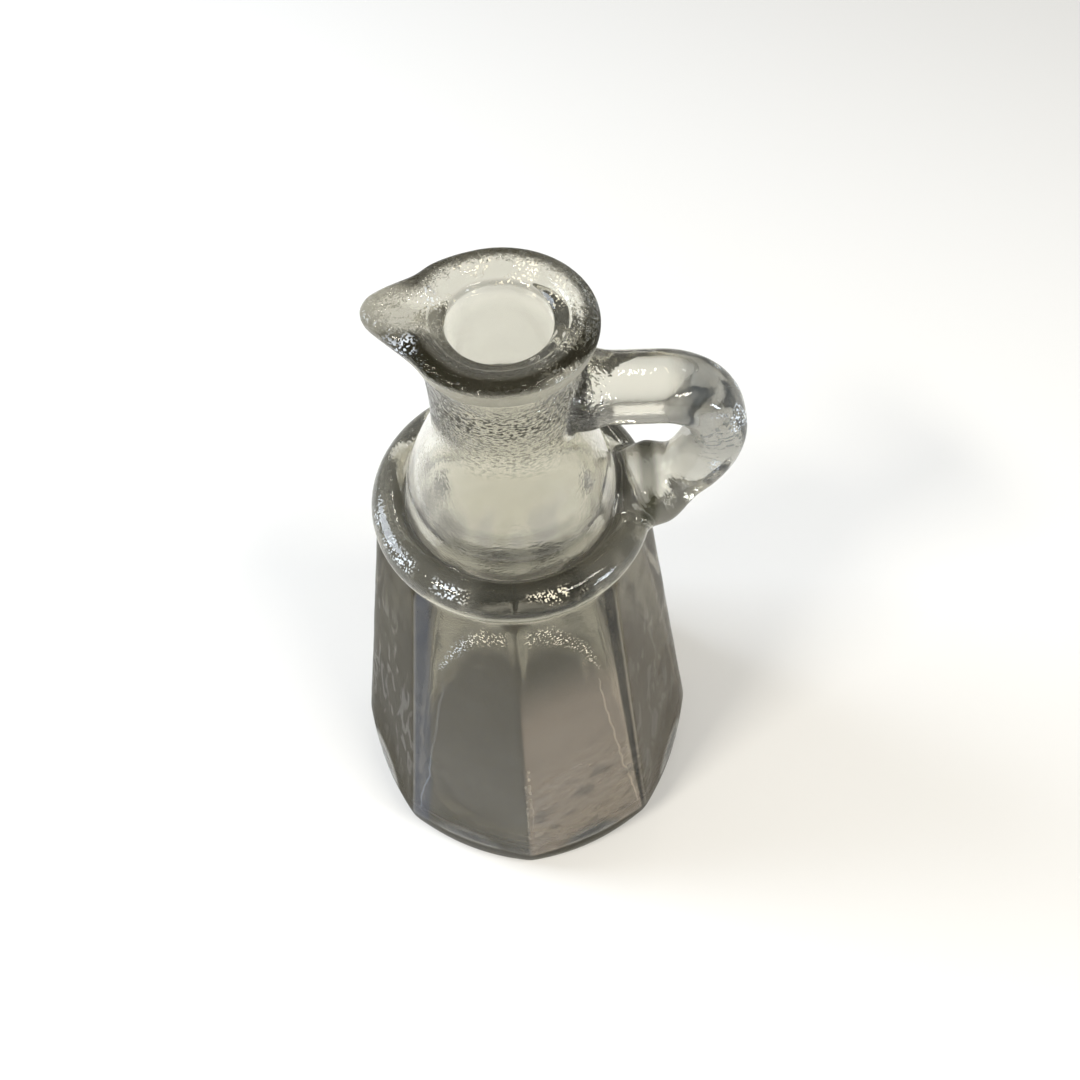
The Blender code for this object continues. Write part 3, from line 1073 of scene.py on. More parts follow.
# a later zone lies over an earlier one; the neck's faint haze is the ground of them all, and the
# other zones paint shade and light into the glass
HAZE_AND_PAINTED_SHADING: dict[Zone, HazeAndPaintedShading] = {
    Zone.NECK: HazeAndPaintedShading(0.03, (0.70, 0.68, 0.60)),
    # painted shade: darker streaky greys over the shoulder, more at its left and at its lower
    # front
    Zone.SHOULDER: HazeAndPaintedShading(0.19, (0.27, 0.27, 0.31), (
        *band(By.Z, 0.0985, 0.1130, 0.004), Edge(By.Y, 0.002, -0.004), SHOULDER_SKIN,
        Edge(By.STREAKS, 0.40, 0.62))),
    Zone.SHOULDER_LEFT: HazeAndPaintedShading(0.32, (0.13, 0.125, 0.130), (
        *band(By.Z, 0.0985, 0.1150, 0.004), Edge(By.Y, 0.004, -0.004),
        Edge(By.RADIUS, 0.0115, 0.0135), Edge(By.X, -0.0045, -0.0095)), (Mask.STREAKY,)),
    Zone.SHOULDER_FOOT: HazeAndPaintedShading(0.26, (0.12, 0.112, 0.088), (
        *band(By.Z, 0.0970, 0.1030, 0.0020), Edge(By.Y, -0.003, -0.009), SHOULDER_SKIN)),
    # painted shade: a darker tone over the funnel
    Zone.FUNNEL: HazeAndPaintedShading(0.18, (0.20, 0.19, 0.15), (
        FUNNEL_TOP, Edge(By.RADIUS, 0.0070, 0.0076))),
    # painted shade: the rim's dark olive band, mostly left out in the trough of the lip
    Zone.RIM: HazeAndPaintedShading(0.70, (0.014, 0.012, 0.005), RIM_TOP, (Mask.OFF_TROUGH,)),
    # painted light: a paler patch on the rim at the right front
    Zone.PANE: HazeAndPaintedShading(0.50, (0.24, 0.225, 0.175), (
        *RIM_TOP, *band(By.AZIMUTH, math.radians(26.0), math.radians(50.0), 0.08),
        Edge(By.RADIUS, 0.0128, 0.0135)), (Mask.OFF_TROUGH,)),
    # painted light: a paler band on the step under the rim
    Zone.STEP: HazeAndPaintedShading(0.58, (0.30, 0.29, 0.24), (
        Edge(By.Z, 0.1345, 0.1350), Edge(By.RIM_HEIGHT, 0.1367, 0.1360),
        Edge(By.RADIUS, 0.0122, 0.0127), Edge(By.Y, 0.0, -0.004))),
    # painted shade: a darker tone at the back of the bore
    Zone.BORE: HazeAndPaintedShading(0.16, (0.26, 0.255, 0.20), (
        Edge(By.RADIUS, 0.0085, 0.0078), Edge(By.Y, 0.001, 0.004),
        *band(By.Z, 0.100, 0.134, 0.003))),
    # painted shade: a dark line along the bore's edge
    Zone.BORE_EDGE: HazeAndPaintedShading(0.42, (0.040, 0.038, 0.025), (
        *band(By.RADIUS, 0.0072, 0.0079, 0.0003), FUNNEL_TOP)),
    # painted light: a paler trough in the lip
    Zone.TROUGH: HazeAndPaintedShading(0.36, (0.40, 0.385, 0.32), (
        Edge(By.X, -0.0070, -0.0085), Edge(By.OFF_Y, 0.0048, 0.0030),
        Edge(By.Z, 0.1330, 0.1345))),
    # painted light: a paler olive over the bead, more at its sides
    Zone.BEAD: HazeAndPaintedShading(0.15, (0.48, 0.465, 0.385), BEAD_ROUND, (Mask.ASIDE,)),
    # painted shade: a darker front of the bead
    Zone.BEAD_FRONT: HazeAndPaintedShading(0.40, (0.045, 0.045, 0.035), (
        *BEAD_ROUND, Edge(By.Y, -0.004, -0.010), Edge(By.ASIDE, -0.45, -0.15),
        Edge(By.ASIDE, 0.75, 0.45))),
    # painted shade: a dark film over the side panels, darker on the left
    Zone.SIDE_LEFT: HazeAndPaintedShading(0.74, (0.027, 0.021, 0.007), (
        Edge(By.X, 0.001, -0.001),), (Mask.SIDES,)),
    Zone.SIDE_RIGHT: HazeAndPaintedShading(0.52, (0.056, 0.042, 0.018), (
        Edge(By.X, -0.001, 0.001),), (Mask.SIDES,)),
    # painted shade: a darker tone over the front panels
    Zone.FRONT_LEFT: HazeAndPaintedShading(0.22, (0.096, 0.082, 0.034), (), (Mask.FRONT,)),
    # painted light: a paler brown over the lower front right panel
    Zone.FRONT_RIGHT: HazeAndPaintedShading(0.22, (0.53, 0.425, 0.305), (
        Edge(By.X, -0.0004, 0.0004), Edge(By.Z, 0.078, 0.058)), (Mask.FRONT,)),
    # painted shade: a bluish dark streak at the left edge of the front panels
    Zone.STREAK: HazeAndPaintedShading(0.40, (0.080, 0.092, 0.120), (
        Edge(By.ASIDE, -0.60, -0.63),), (Mask.FRONT,)),
    # painted shade: a dark streak along the right edge of the front right panel
    Zone.STREAK_RIGHT: HazeAndPaintedShading(0.62, (0.036, 0.034, 0.028), (
        Edge(By.PAST_LINE, 0.0, 0.010),), (Mask.FRONT,)),
    # painted shade: a dark heel band at the front, fading towards the back
    Zone.HEEL: HazeAndPaintedShading(0.72, (0.032, 0.028, 0.014), (
        Edge(By.Z, 0.0100, 0.0080), Edge(By.RADIUS, 0.0300, 0.0325),
        Edge(By.Y, 0.0200, 0.0))),
    # painted shade: a dark bluish grey over the handle's bend
    Zone.BEND: HazeAndPaintedShading(0.34, (0.12, 0.13, 0.135), (
        Edge(By.X, 0.0235, 0.0275), Edge(By.Z, 0.1020, 0.1080))),
    # painted shade: a dark band where the handle's foot joins the collar
    Zone.ROOT: HazeAndPaintedShading(0.60, (0.045, 0.045, 0.026), (
        *band(By.X, 0.0208, 0.0240, 0.0010), *band(By.Z, 0.0960, 0.1075, 0.0020))),
}


@dataclass(frozen=True)
class Layout:
    """Sizes of the measures and of the masks."""

    rim_drop: float = 0.0010         # how much lower the rim's height is taken at the front
    rim_front: Area = (Edge(By.Y, -0.003, -0.008),)
    streaks: Pattern = Pattern(0.004, 15.0, squeeze=0.15)
    streaky: Edge = Edge(By.STREAKS, 0.40, 0.62)
    least_streaky: float = 0.5
    line_foot: float = 0.636         # the leaning line, x as a share of the radius
    line_height: float = 0.087
    line_lean: float = 0.50
    wall_in: float = 0.0012          # the outer side is told from the inner this far in
    wall_out: float = 0.0010         # and this far out
    wall_soft: float = 0.0002
    panels: Area = (Edge(By.Z, 0.0928, 0.0918),)
    front: Area = (Edge(By.Y, 0.001, -0.001),)
    sides: Area = (Edge(By.OFF_ASIDE, 0.69, 0.71), Edge(By.Y, 0.0150, -0.0040))
    trough: Area = (Edge(By.X, -0.0105, -0.0125), Edge(By.OFF_Y, 0.0062, 0.0040))
    trough_share: float = 0.8        # how much of the rim's painted shade it leaves out
    aside: Edge = Edge(By.OFF_ASIDE, 0.15, 0.65)
    least_aside: float = 0.30


class Skin:
    """What the finish can tell about the point of the glass that it colours."""

    def __init__(self, kit: NodeKit, body: Body, layout: Layout) -> None:
        """Take the measures and lay the masks.

        Args:
            kit: the material's nodes.
            body: the panels.
            layout: sizes of the measures and the masks.
        """
        self.kit = kit
        self.place = kit.field("ShaderNodeTexCoord", "Object")
        self.ramps: dict[Edge, Field] = {}
        x, y, z = kit.split(self.place)
        radius = (x * x + y * y).math('SQRT')
        aside = x / radius
        self.measures = {
            By.X: x, By.Y: y, By.Z: z, By.OFF_X: abs(x), By.OFF_Y: abs(y), By.RADIUS: radius,
            By.ASIDE: aside, By.OFF_ASIDE: abs(aside), By.AZIMUTH: x.math('ARCTAN2', -y),
            By.PAST_LINE: aside - layout.line_foot - (layout.line_height - z) * layout.line_lean}
        self.measures[By.RIM_HEIGHT] = z - self.cover(layout.rim_front) * layout.rim_drop
        self.measures[By.STREAKS] = self.noise(layout.streaks)
        self.masks = self.lay_masks(body, layout)

    def lay_masks(self, body: Body, layout: Layout) -> dict[Mask, Field]:
        """Lay the masks.

        Args:
            body: the panels.
            layout: sizes of the masks.

        Returns:
            The masks.
        """
        x, y, z, radius = (self.measures[by] for by in (By.X, By.Y, By.Z, By.RADIUS))
        half = math.pi / body.panels
        beside = y.math('ARCTAN2', x) % (half * 2.0) - half
        wall = math.cos(half) * (body.heel_radius - body.slope * (z - body.heel_height))
        depth = radius * beside.math('COSINE') - wall
        panels = depth.band(-layout.wall_in, layout.wall_out, layout.wall_soft) \
            * self.cover(layout.panels)
        return {
            Mask.FRONT: panels * self.cover(layout.front) * (1.0 - self.ramp(layout.sides[0])),
            Mask.SIDES: panels * self.cover(layout.sides),
            Mask.OFF_TROUGH: 1.0 - layout.trough_share * self.cover(layout.trough),
            Mask.STREAKY: self.kit.blend(self.ramp(layout.streaky), layout.least_streaky, 1.0),
            Mask.ASIDE: self.kit.blend(self.ramp(layout.aside), layout.least_aside, 1.0)}

    def ramp(self, edge: Edge) -> Field:
        """Rise over one edge, with one node for all areas that share it.

        Args:
            edge: the edge.

        Returns:
            0 to 1.
        """
        if edge not in self.ramps:
            self.ramps[edge] = self.measures[edge.by].ramp(edge.outer, edge.inner)
        return self.ramps[edge]

    def cover(self, area: Area, masks: tuple[Mask, ...] = ()) -> Field:
        """How far an area covers the point.

        Args:
            area: its edges.
            masks: the masks that it keeps to.

        Returns:
            0 to 1.
        """
        parts = [self.masks[mask] for mask in masks] + [self.ramp(edge) for edge in area]
        return math.prod(parts[1:], start=parts[0])

    def noise(self, pattern: Pattern) -> Field:
        """Read a noise pattern at the point.

        Args:
            pattern: the pattern.

        Returns:
            A number round 0.5.
        """
        place = self.place
        if pattern.squeeze != 1.0:
            x, y, z = (self.measures[by] for by in (By.X, By.Y, By.Z))
            place = self.kit.vector(x, y, z * pattern.squeeze)
        return self.kit.noise(place, pattern.size, pattern.detail, pattern.roughness,
                              pattern.swirl, pattern.seed)

    def lumps(self, pattern: Pattern) -> Field:
        """Read a noise pattern as lumps, 0 to 1."""
        return self.noise(pattern).ramp(*pattern.span)


@dataclass(frozen=True)
class Relief:
    """Fine relief that the mould has left in the skin."""

    neck_radius: float = 0.0095      # the outer skin of the neck is told from the inner here
    neck_foot: float = 0.120
    neck_flare: float = 0.25
    skin_soft: float = 0.0004
    handle: Area = (Edge(By.X, 0.013, 0.017), Edge(By.Z, 0.098, 0.101))
    handle_calm: float = 0.93
    back: Area = (Edge(By.Y, 0.0, 0.006), Edge(By.Z, 0.135, 0.133))
    back_calm: float = 0.9
    neck: Area = (Edge(By.Z, 0.1150, 0.1270), Edge(By.Z, 0.1322, 0.1300))
    rim: Area = (Edge(By.Z, 0.1330, 0.1345),)
    shoulder: Area = band(By.Z, 0.088, 0.112, 0.003)
    peel: Pattern = Pattern(0.0008, 0.0, 1.0, 0.55, squeeze=1.7)
    peel_height: float = 0.00045     # pimples of the cast skin
    peel_plain: float = 0.05
    peel_neck: float = 0.85
    peel_rim: float = 0.60
    peel_shoulder: float = 0.06
    grain: Pattern = Pattern(0.00045, 5.0)
    grain_height: float = 0.00003
    grain_plain: float = 0.15
    grain_bead: float = 0.8
    swim: Pattern = Pattern(0.006, 9.0)
    swim_height: float = 0.00012     # slow waves
    swim_calm: float = 0.6           # how much less the handle has of them
    dimple: Pattern = Pattern(0.004, 12.0, 1.0)
    dimple_height: float = 0.00045
    dimpled: Area = (Edge(By.Z, 0.050, 0.035), Edge(By.X, -0.0004, 0.0004),
                     Edge(By.Y, -0.020, -0.024))

    def bump(self, skin: Skin, zones: dict[Zone, Field]) -> Field:
        """Raise the pimples, the grain, the slow waves and the dimples.

        Args:
            skin: the point on the glass.
            zones: how far each zone covers it.

        Returns:
            The bumped normal.
        """
        z = skin.measures[By.Z]
        flare = (self.neck_foot - z).math('MAXIMUM', 0.0) * self.neck_flare
        depth = skin.measures[By.RADIUS] - self.neck_radius - flare
        handle = skin.cover(self.handle)
        outside = (depth.ramp(0.0, self.skin_soft) * (1.0 - self.handle_calm * handle)
                   * (1.0 - self.back_calm * skin.cover(self.back)))
        neck, rim = skin.cover(self.neck), skin.cover(self.rim)
        peeled = outside * (self.peel_plain + neck * self.peel_neck + rim * self.peel_rim
                            + skin.cover(self.shoulder) * self.peel_shoulder)
        grainy = (self.grain_plain + outside * (neck + rim)
                  + zones[Zone.BEAD] * self.grain_bead)
        height = (skin.noise(self.peel) * self.peel_height * peeled
                  + skin.noise(self.grain) * self.grain_height * grainy
                  + skin.noise(self.swim) * self.swim_height * (1.0 - self.swim_calm * handle)
                  + skin.noise(self.dimple) * self.dimple_height * skin.cover(self.dimpled))
        return skin.kit.field("ShaderNodeBump", inputs={
            "Strength": 1.0, "Distance": 1.0, "Height": height})


@dataclass(frozen=True)
class PaintedGlints:
    """Painted highlights: bright specks on the rim, the collar, the handle and the tops of the
    panels.
    """

    collar: Collar = field(default_factory=Collar)
    share: float = 0.80              # how much of the look they take over
    # colours of the painted highlights: warm inside the warm area, cool outside it
    warm: Colour = (0.86, 0.80, 0.64)
    cool: Colour = (0.74, 0.80, 0.88)
    warm_area: Area = band(By.X, -0.008, 0.024, 0.002)
    grains: Pattern = Pattern(0.00034, 30.0)
    fine: Span = (0.56, 0.68)
    dense: Span = (0.51, 0.64)
    patches: Pattern = Pattern(0.0035, 33.0)
    arc_height: float = 0.0872       # the row of painted highlights near the top of the front panels
    arc_bow: float = 0.030
    arc_fall: float = 0.20
    arc_width: float = 0.0042
    arc_stray: float = 0.003
    arc_area: Area = (Edge(By.OFF_ASIDE, 0.60, 0.52), Edge(By.OFF_ASIDE, 0.02, 0.10))
    leg_foot: float = 0.662          # painted highlight lines down the panels, x as a share of the radius
    leg_bend: float = 0.018          # height above which they lean
    leg_lean: float = 2.4
    leg_width: float = 0.009
    leg_stray: float = 0.035
    leg_share: float = 0.24
    leg_area: Area = band(By.Z, 0.012, 0.070, 0.006)
    crown: Area = (Edge(By.Y, 0.0, 0.004), Edge(By.RADIUS, 0.0118, 0.0104))
    crown_patches: Span = (0.46, 0.60)
    lip: Area = (*band(By.X, -0.0160, -0.0112, 0.0012), Edge(By.Y, -0.001, -0.004))
    lip_patches: Span = (0.30, 0.45)
    bead: Area = band(By.Z, 0.0930, 0.0990, 0.0005)
    bead_patches: Span = (0.35, 0.50)
    bead_runs: tuple[Span, ...] = ((-82, -46), (-35, -19), (6, 30))    # degrees of azimuth
    bead_run_soft: float = 0.06
    bead_turn: float = math.radians(54)        # up round the bead from its outermost line
    bead_turn_span: Span = (0.55, 0.20)
    loop: Area = (Edge(By.X, 0.0285, 0.0315),)
    loop_patches: Span = (0.48, 0.60)

    def on_bead(self, skin: Skin, patches: Field) -> Field:
        """Cover the short runs of painted highlights on the collar's bead.

        Args:
            skin: the point on the glass.
            patches: where the glints gather.

        Returns:
            0 to 1.
        """
        collar = self.collar
        turn = ((skin.measures[By.Z] - collar.height) / collar.bead_axial).math(
            'ARCTAN2', (skin.measures[By.RADIUS] - collar.radius) / collar.bead_radial)
        runs = [skin.measures[By.AZIMUTH].band(math.radians(first), math.radians(last),
                                               self.bead_run_soft)
                for first, last in self.bead_runs]
        return (sum(runs[1:], runs[0]) * abs(turn - self.bead_turn).ramp(*self.bead_turn_span)
                * skin.cover(self.bead) * patches.ramp(*self.bead_patches))

    def cover(self, skin: Skin, zones: dict[Zone, Field]) -> Field:
        """Scatter the painted highlights.

        Args:
            skin: the point on the glass.
            zones: how far each zone covers it.

        Returns:
            How far a painted highlight covers the point.
        """
        z, aside = skin.measures[By.Z], skin.measures[By.OFF_ASIDE]
        grains, patches = skin.noise(self.grains), skin.noise(self.patches)
        stray = patches - 0.5
        turned = aside * aside
        arc = self.arc_height - turned * self.arc_bow - turned ** 3.0 * self.arc_fall
        arch = (abs(z - arc + stray * self.arc_stray).ramp(self.arc_width, 0.0)
                * skin.cover(self.arc_area))
        leg = self.leg_foot - (z - self.leg_bend).math('MAXIMUM', 0.0) * self.leg_lean
        legs = (abs(aside - leg + stray * self.leg_stray).ramp(self.leg_width, 0.0)
                * skin.cover(self.leg_area))
        crown = zones[Zone.FUNNEL] * skin.cover(self.crown) * patches.ramp(*self.crown_patches)
        lip = zones[Zone.RIM] * skin.cover(self.lip) * patches.ramp(*self.lip_patches)
        loop = zones[Zone.BEND] * skin.cover(self.loop) * patches.ramp(*self.loop_patches)
        return (grains.ramp(*self.fine) * (arch * zones[Zone.FRONT_LEFT] + crown)
                + grains.ramp(*self.dense) * (self.on_bead(skin, patches) + lip + loop)
                + legs * zones[Zone.FRONT_LEFT] * self.leg_share)


@dataclass(frozen=True)
class PressedGlass:
    """Pressed glass with a warm grey cast, a faint haze, painted shade, painted light and painted
    highlights, and the fine relief of its mould.
    """

    body: Body = field(default_factory=Body)
    layout: Layout = Layout()
    relief: Relief = Relief()
    painted_glints: PaintedGlints = field(default_factory=PaintedGlints)
    haze_and_painted_shading: dict[Zone, HazeAndPaintedShading] = field(default_factory=lambda: dict(HAZE_AND_PAINTED_SHADING))
    tint_neck: Colour = (0.78, 0.762, 0.672)
    tint_body: Colour = (0.30, 0.275, 0.215)
    tint_base: Colour = (0.70, 0.68, 0.60)
    base: Area = (Edge(By.Z, 0.0075, 0.005),)
    roughness: float = 0.02
    haze_and_shade_roughness: float = 0.30
    ior: float = 1.5
    wisps: Pattern = Pattern(0.0034, 7.0, 1.0, swirl=1.2, squeeze=0.28, span=(0.52, 0.62))
    wisp_area: Area = band(By.Z, 0.020, 0.070, 0.012)
    wisp_lift: float = 0.26          # how much of the side panels' painted shade they leave out
    # painted shade: dark blotches on the lower front right panel, the front panels and the
    # handle's bend
    shade_blotches: Pattern = Pattern(0.005, 4.0, 1.0, span=(0.52, 0.72))
    shade_blotch_area: Area = (Edge(By.Z, 0.050, 0.035),)
    shade_blotch_right: float = 0.35
    shade_blotch_left: float = 0.15
    shade_blotch_bend: float = 0.95
    # painted shade: dark specks on the neck, a shade under the lip and a dark line low on the
    # shoulder
    specks: Pattern = Pattern(0.00075, 21.0, squeeze=2.2, span=(0.53, 0.62))
    speck_share: float = 0.78
    speck_thin: float = 0.5          # how many of them the lower band has
    speck_shade_colour: Colour = (0.035, 0.033, 0.025)
    speck_span: Span = (0.0, 0.1)
    speck_shade_band: Area = band(By.Z, 0.1250, 0.1300, 0.0015)
    speck_shade_low_band: Area = band(By.Z, 0.1175, 0.1250, 0.0040)
    painted_shade_skin: Area = (Edge(By.RADIUS, 0.0098, 0.0104), Edge(By.Y, 0.0, -0.004),
                         Edge(By.X, 0.0130, 0.0115))
    under_lip_shade: Area = (Edge(By.X, -0.0045, -0.0085), *band(By.Z, 0.1190, 0.1300, 0.0050))
    under_lip_shade_share: float = 0.26
    low_shade_line: Area = (*band(By.Z, 0.1028, 0.1042, 0.0010), Edge(By.OFF_X, 0.0105, 0.0075))
    low_shade_line_share: float = 0.22

    def make(self) -> bpy.types.Material:
        """Build the material.

        Returns:
            The finished glass.
        """
        material, kit = new_material(SLOT)
        skin = Skin(kit, self.body, self.layout)
        zones = {zone: skin.cover(haze_and_shade.area, haze_and_shade.masks)
                 for zone, haze_and_shade in self.haze_and_painted_shading.items() if zone is not Zone.NECK}
        panels = zones[Zone.SIDE_LEFT] + zones[Zone.SIDE_RIGHT] + zones[Zone.FRONT_LEFT]
        colour = kit.blend_colour(panels, self.tint_neck, self.tint_body)
        colour = kit.blend_colour(skin.cover(self.base), colour, self.tint_base)
        normal = self.relief.bump(skin, zones)
        clear = kit.node("ShaderNodeBsdfPrincipled", inputs={
            "Base Color": colour, "Roughness": self.roughness, "IOR": self.ior,
            "Transmission Weight": 1.0, "Normal": normal})
        # a diffuse layer that carries the haze and the painted shade, painted light and painted
        # highlights
        share, haze_and_shade_colour = self.paint_haze_and_shading(skin, zones)
        haze_and_shade = kit.node("ShaderNodeBsdfPrincipled", inputs={
            "Base Color": haze_and_shade_colour, "Roughness": self.haze_and_shade_roughness,
            "Specular IOR Level": 0.0, "Normal": normal})
        shader = kit.node("ShaderNodeMixShader", inputs={
            0: share, 1: clear.outputs[0], 2: haze_and_shade.outputs[0]})
        kit.node("ShaderNodeOutputMaterial", inputs={"Surface": shader.outputs[0]})
        return material

    def painted_shade_marks(self, skin: Skin) -> Field:
        """Paint shade: dark specks that stand in for the shadows of the neck's pimples, shade
        under the lip and a dark line low on the shoulder, over the collar.

        Args:
            skin: the point on the glass.

        Returns:
            How far they cover the point.
        """
        specks = skin.lumps(self.specks) * self.speck_share * (
            skin.cover(self.speck_shade_band) + skin.cover(self.speck_shade_low_band) * self.speck_thin)
        return specks.math('MAXIMUM', skin.cover(self.low_shade_line) * self.low_shade_line_share).math(
            'MAXIMUM', skin.cover(self.under_lip_shade) * self.under_lip_shade_share) \
            * skin.cover(self.painted_shade_skin)

    def paint_haze_and_shading(self, skin: Skin, zones: dict[Zone, Field]) -> tuple[Field, Field]:
        """Lay the haze and the painted shade and light of the zones over one another, and the
        painted specks, shade and highlights over them.

        Args:
            skin: the point on the glass.
            zones: how far each zone covers it.

        Returns:
            Share of the diffuse layer, and its colour.
        """
        kit = skin.kit
        ground = self.haze_and_painted_shading[Zone.NECK]
        share, colour = ground.share, ground.colour
        for zone, cover in zones.items():
            share = kit.blend(cover, share, self.haze_and_painted_shading[zone].share)
            colour = kit.blend_colour(cover, colour, self.haze_and_painted_shading[zone].colour)
        sides = zones[Zone.SIDE_LEFT] + zones[Zone.SIDE_RIGHT]
        wisps = skin.lumps(self.wisps) * sides * skin.cover(self.wisp_area)
        # painted shade blotches in the heel's dark colour
        shade_blotches = skin.lumps(self.shade_blotches) * (
            zones[Zone.FRONT_RIGHT] * self.shade_blotch_right * skin.cover(self.shade_blotch_area)
            + zones[Zone.FRONT_LEFT] * self.shade_blotch_left + zones[Zone.BEND] * self.shade_blotch_bend)
        colour = kit.blend_colour(shade_blotches, colour, self.haze_and_painted_shading[Zone.HEEL].colour)
        # dark specks, shade under the lip and a line on the shoulder, all painted shade
        painted_shade_marks = self.painted_shade_marks(skin)
        # the wisps thin the painted shade of the side panels
        share = share * (1.0 - wisps * self.wisp_lift)
        share = share + painted_shade_marks * (1.0 - share)
        colour = kit.blend_colour(painted_shade_marks.ramp(*self.speck_span), colour, self.speck_shade_colour)
        # painted highlights over all the rest
        painted_glints = self.painted_glints.cover(skin, zones)
        painted_glint_colour = kit.blend_colour(skin.cover(self.painted_glints.warm_area), self.painted_glints.cool,
                                self.painted_glints.warm)
        share = share + painted_glints * self.painted_glints.share * (1.0 - share)
        return share, kit.blend_colour(painted_glints, colour, painted_glint_colour)


# ---- the pitcher ---------------------------------------------------------------------------
@dataclass
class Pitcher:
    """Vessel and handle in one skin of glass."""

    vessel: Vessel = field(default_factory=Vessel)
    handle: Handle = field(default_factory=Handle)
    finish: PressedGlass = field(default_factory=PressedGlass)
    crease_angle: float = math.radians(24)
    fillet_reach: float = 0.0016     # how far the easing of the joint reaches
    fillet_rounds: int = 24
    fillet_pull: float = 0.5         # how far a point moves to its neighbours in one round
    handle_from: float = 0.008       # x beyond which the joint lies

    def build(self) -> bpy.types.Object:
        """Make the pitcher, hide the CAD solid and ride on its body.

        Returns:
            The finished piece.
        """
        glass = self.finish.make()
        piece = self.vessel.build(glass)
        handle = self.handle.build(self.vessel.neck, self.vessel.collar, glass)
        log.info("vessel %d faces, handle %d faces", len(piece.data.polygons),
                 len(handle.data.polygons))
        self.join(piece, handle)
        self.ease_joint(piece.data)
        piece.data.materials.clear()
        piece.data.materials.append(glass)
        piece.data.shade_smooth()
        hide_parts(NODE)
        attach(piece, BODY)
        log.info("%s: %d faces", piece.name, len(piece.data.polygons))
        return piece

    def join(self, piece: bpy.types.Object, handle: bpy.types.Object) -> None:
        """Fuse the handle to the vessel as one skin.

        Args:
            piece: the vessel, which keeps the result.
            handle: the handle, which is removed.
        """
        union = piece.modifiers.new("fuse", 'BOOLEAN')
        union.operation = 'UNION'
        union.solver = 'EXACT'
        union.object = handle
        as_plain_mesh(piece)
        bpy.data.objects.remove(handle, do_unlink=True)

    def ease_joint(self, mesh: bpy.types.Mesh) -> None:
        """Round the creases where the handle meets the vessel.

        Args:
            mesh: the joined skin.
        """
        bm = bmesh.new()
        bm.from_mesh(mesh)
        bmesh.ops.triangulate(bm, faces=bm.faces)
        bm.normal_update()
        creased = {v for e in bm.edges if len(e.link_faces) == 2 and e.is_manifold
                   and e.calc_face_angle_signed(0.0) < -self.crease_angle for v in e.verts}
        spots = np.array([v.co[:] for v in creased])
        weights = {}
        for v in (v for v in bm.verts if v.co.x > self.handle_from):
            gap = np.sqrt(((spots - np.array(v.co[:])) ** 2).sum(axis=1)).min()
            if gap < self.fillet_reach:
                weights[v] = 1.0 - smooth(gap / self.fillet_reach)
        for _ in range(self.fillet_rounds):
            moved = {}
            for v, weight in weights.items():
                near = [e.other_vert(v).co for e in v.link_edges]
                moved[v] = v.co.lerp(sum(near, Vector()) / len(near),
                                     self.fillet_pull * weight)
            for v, place in moved.items():
                v.co = place
        bm.to_mesh(mesh)
        bm.free()
        log.info("eased %d points along the joint", len(weights))


# ---- the studio ----------------------------------------------------------------------------
LAMPLIGHT: Colour = (1.0, 0.95, 0.86)


@dataclass(frozen=True)
class SoftBox:
    """One large soft light that looks at a point above the floor."""

    name: str
    place: tuple[float, float, float]
    size: tuple[float, float]
    power: float
    colour: Colour
    aim: tuple[float, float, float] = (0.0, 0.0, 0.07)

    def build(self) -> bpy.types.Object:
        """Place the light.

        Returns:
            The light.
        """
        data = bpy.data.lights.new(self.name, 'AREA')
        data.shape = 'RECTANGLE'
        data.size, data.size_y = self.size
        data.energy = self.power
        data.color = self.colour
        lamp = new_object(self.name, data)
        lamp.location = self.place
        lamp.rotation_euler = (Vector(self.aim) - Vector(self.place)).to_track_quat(
            '-Z', 'Y').to_euler()
        return lamp


@dataclass(frozen=True)
class Viewpoint:
    """Camera that looks down on the pitcher from the front."""

    place: tuple[float, float, float] = (0.0050745, -0.1001716, 0.2417)
    pitch: float = math.radians(57.70)
    yaw: float = math.radians(4.61)
    roll: float = math.radians(-0.42)
    around: float = math.radians(2.9)
    lens: float = 34.93
    sensor: float = 36.0
    nearest: float = 0.01
    shift: tuple[float, float] = (-0.0187, -0.0083)

    def build(self) -> bpy.types.Object:
        """Place the camera and make it the scene's own.

        Returns:
            The camera.
        """
        data = bpy.data.cameras.new("viewpoint")
        data.sensor_width = self.sensor
        data.lens = self.lens
        data.shift_x, data.shift_y = self.shift
        data.clip_start = self.nearest
        camera = new_object("viewpoint", data)
        level = math.cos(self.pitch)
        ahead = Vector((math.sin(self.yaw) * level, math.cos(self.yaw) * level,
                        -math.sin(self.pitch)))
        right = Vector((math.cos(self.yaw), -math.sin(self.yaw), 0.0))
        up = right.cross(ahead)
        tilted = math.cos(self.roll) * right + math.sin(self.roll) * up
        upright = -math.sin(self.roll) * right + math.cos(self.roll) * up
        turn = Matrix.Rotation(self.around, 3, 'Z')
        axes = Matrix([turn @ tilted, turn @ upright, turn @ -ahead]).transposed()
        camera.matrix_world = Matrix.Translation(self.place) @ axes.to_4x4()
        bpy.context.scene.camera = camera
        return camera


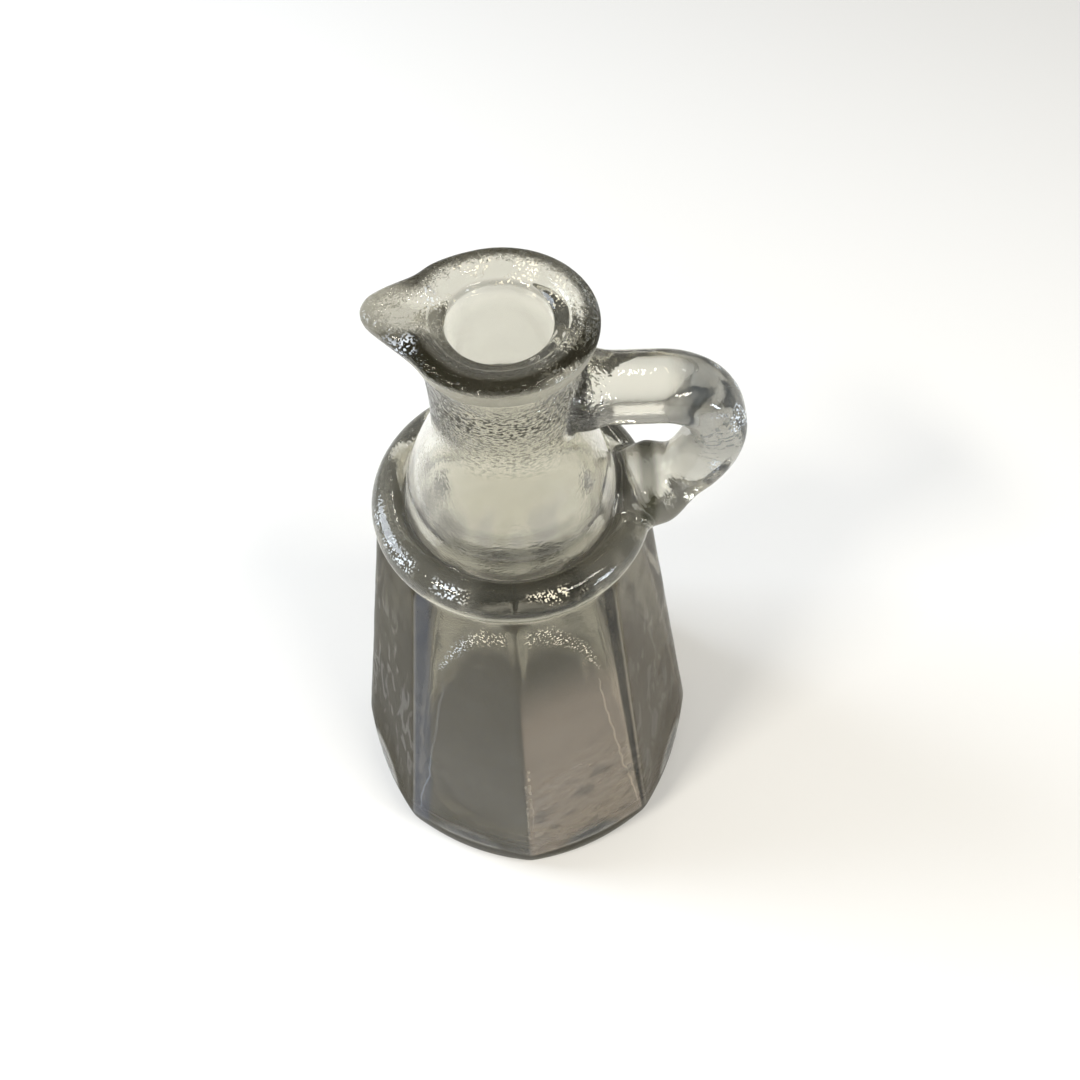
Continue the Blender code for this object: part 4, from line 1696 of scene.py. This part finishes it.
@dataclass
class Studio:
    """Plain pale floor, soft lights and a quiet surround."""

    floor_colour: Colour = (0.80, 0.79, 0.77)
    floor_half: float = 1.5
    floor_roughness: float = 0.85
    floor_gloss: float = 0.2
    surround_low: Colour = (0.48, 0.47, 0.45)
    surround_high: Colour = (0.30, 0.30, 0.29)
    surround_top: float = 0.7        # the upper colour is reached here, 1 is overhead
    surround_strength: float = 1.0
    lights: tuple[SoftBox, ...] = (
        SoftBox("window", (-0.55, 0.15, 0.40), (0.32, 0.42), 4.4, (0.80, 0.88, 1.0)),
        SoftBox("lamp_left", (-0.40, -0.28, 0.63), (0.18, 0.06), 2.6, LAMPLIGHT),
        SoftBox("lamp_right", (0.36, -0.25, 0.67), (0.32, 0.05), 2.6, LAMPLIGHT),
        SoftBox("window_low", (0.593, -0.342, 0.216), (0.12, 0.12), 1.8, (0.82, 0.90, 1.0)),
        SoftBox("lamp_behind", (0.065, 0.466, 0.717), (0.05, 0.03), 0.2, LAMPLIGHT),
    )

    def build(self) -> None:
        """Lay the floor, hang the lights and set the surround."""
        self.lay_floor()
        for light in self.lights:
            light.build()
        self.set_surround()
        bpy.context.scene.view_settings.view_transform = 'Standard'

    def lay_floor(self) -> None:
        """Lay the floor."""
        half = self.floor_half
        mesh = bpy.data.meshes.new("floor")
        mesh.from_pydata([(-half, -half, 0.0), (half, -half, 0.0), (half, half, 0.0),
                          (-half, half, 0.0)], [], [(0, 1, 2, 3)])
        floor = new_object("floor", mesh)
        material, kit = new_material("pale_floor")
        shader = kit.node("ShaderNodeBsdfPrincipled", inputs={
            "Base Color": (*self.floor_colour, 1.0), "Roughness": self.floor_roughness,
            "Specular IOR Level": self.floor_gloss})
        kit.node("ShaderNodeOutputMaterial", inputs={"Surface": shader.outputs[0]})
        mesh.materials.append(material)
        floor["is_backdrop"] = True

    def set_surround(self) -> None:
        """Light the surround, paler at the horizon than overhead."""
        world = bpy.data.worlds.new("surround")
        bpy.context.scene.world = world
        world.use_nodes = True
        world.node_tree.nodes.clear()
        kit = NodeKit(world.node_tree)
        _, _, up = kit.split(kit.field("ShaderNodeTexCoord", "Generated"))
        colour = kit.blend_colour(up.ramp(0.0, self.surround_top), self.surround_low,
                                  self.surround_high)
        light = kit.node("ShaderNodeBackground", inputs={
            "Color": colour, "Strength": self.surround_strength})
        kit.node("ShaderNodeOutputWorld", inputs={"Surface": light.outputs[0]})


def main() -> None:
    """Dress the frame and set the scene."""
    logging.basicConfig(level=logging.INFO, format="%(name)s: %(message)s")
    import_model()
    cad_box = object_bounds()
    Pitcher().build()
    Studio().build()
    Viewpoint().build()
    boxes = {"cad": cad_box, "visual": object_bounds()}
    ({name: [list(map(float, corner)) for corner in box]
               for name, box in boxes.items()})
    log.info("boxes %s", boxes)


if __name__ == "__main__":
    main()
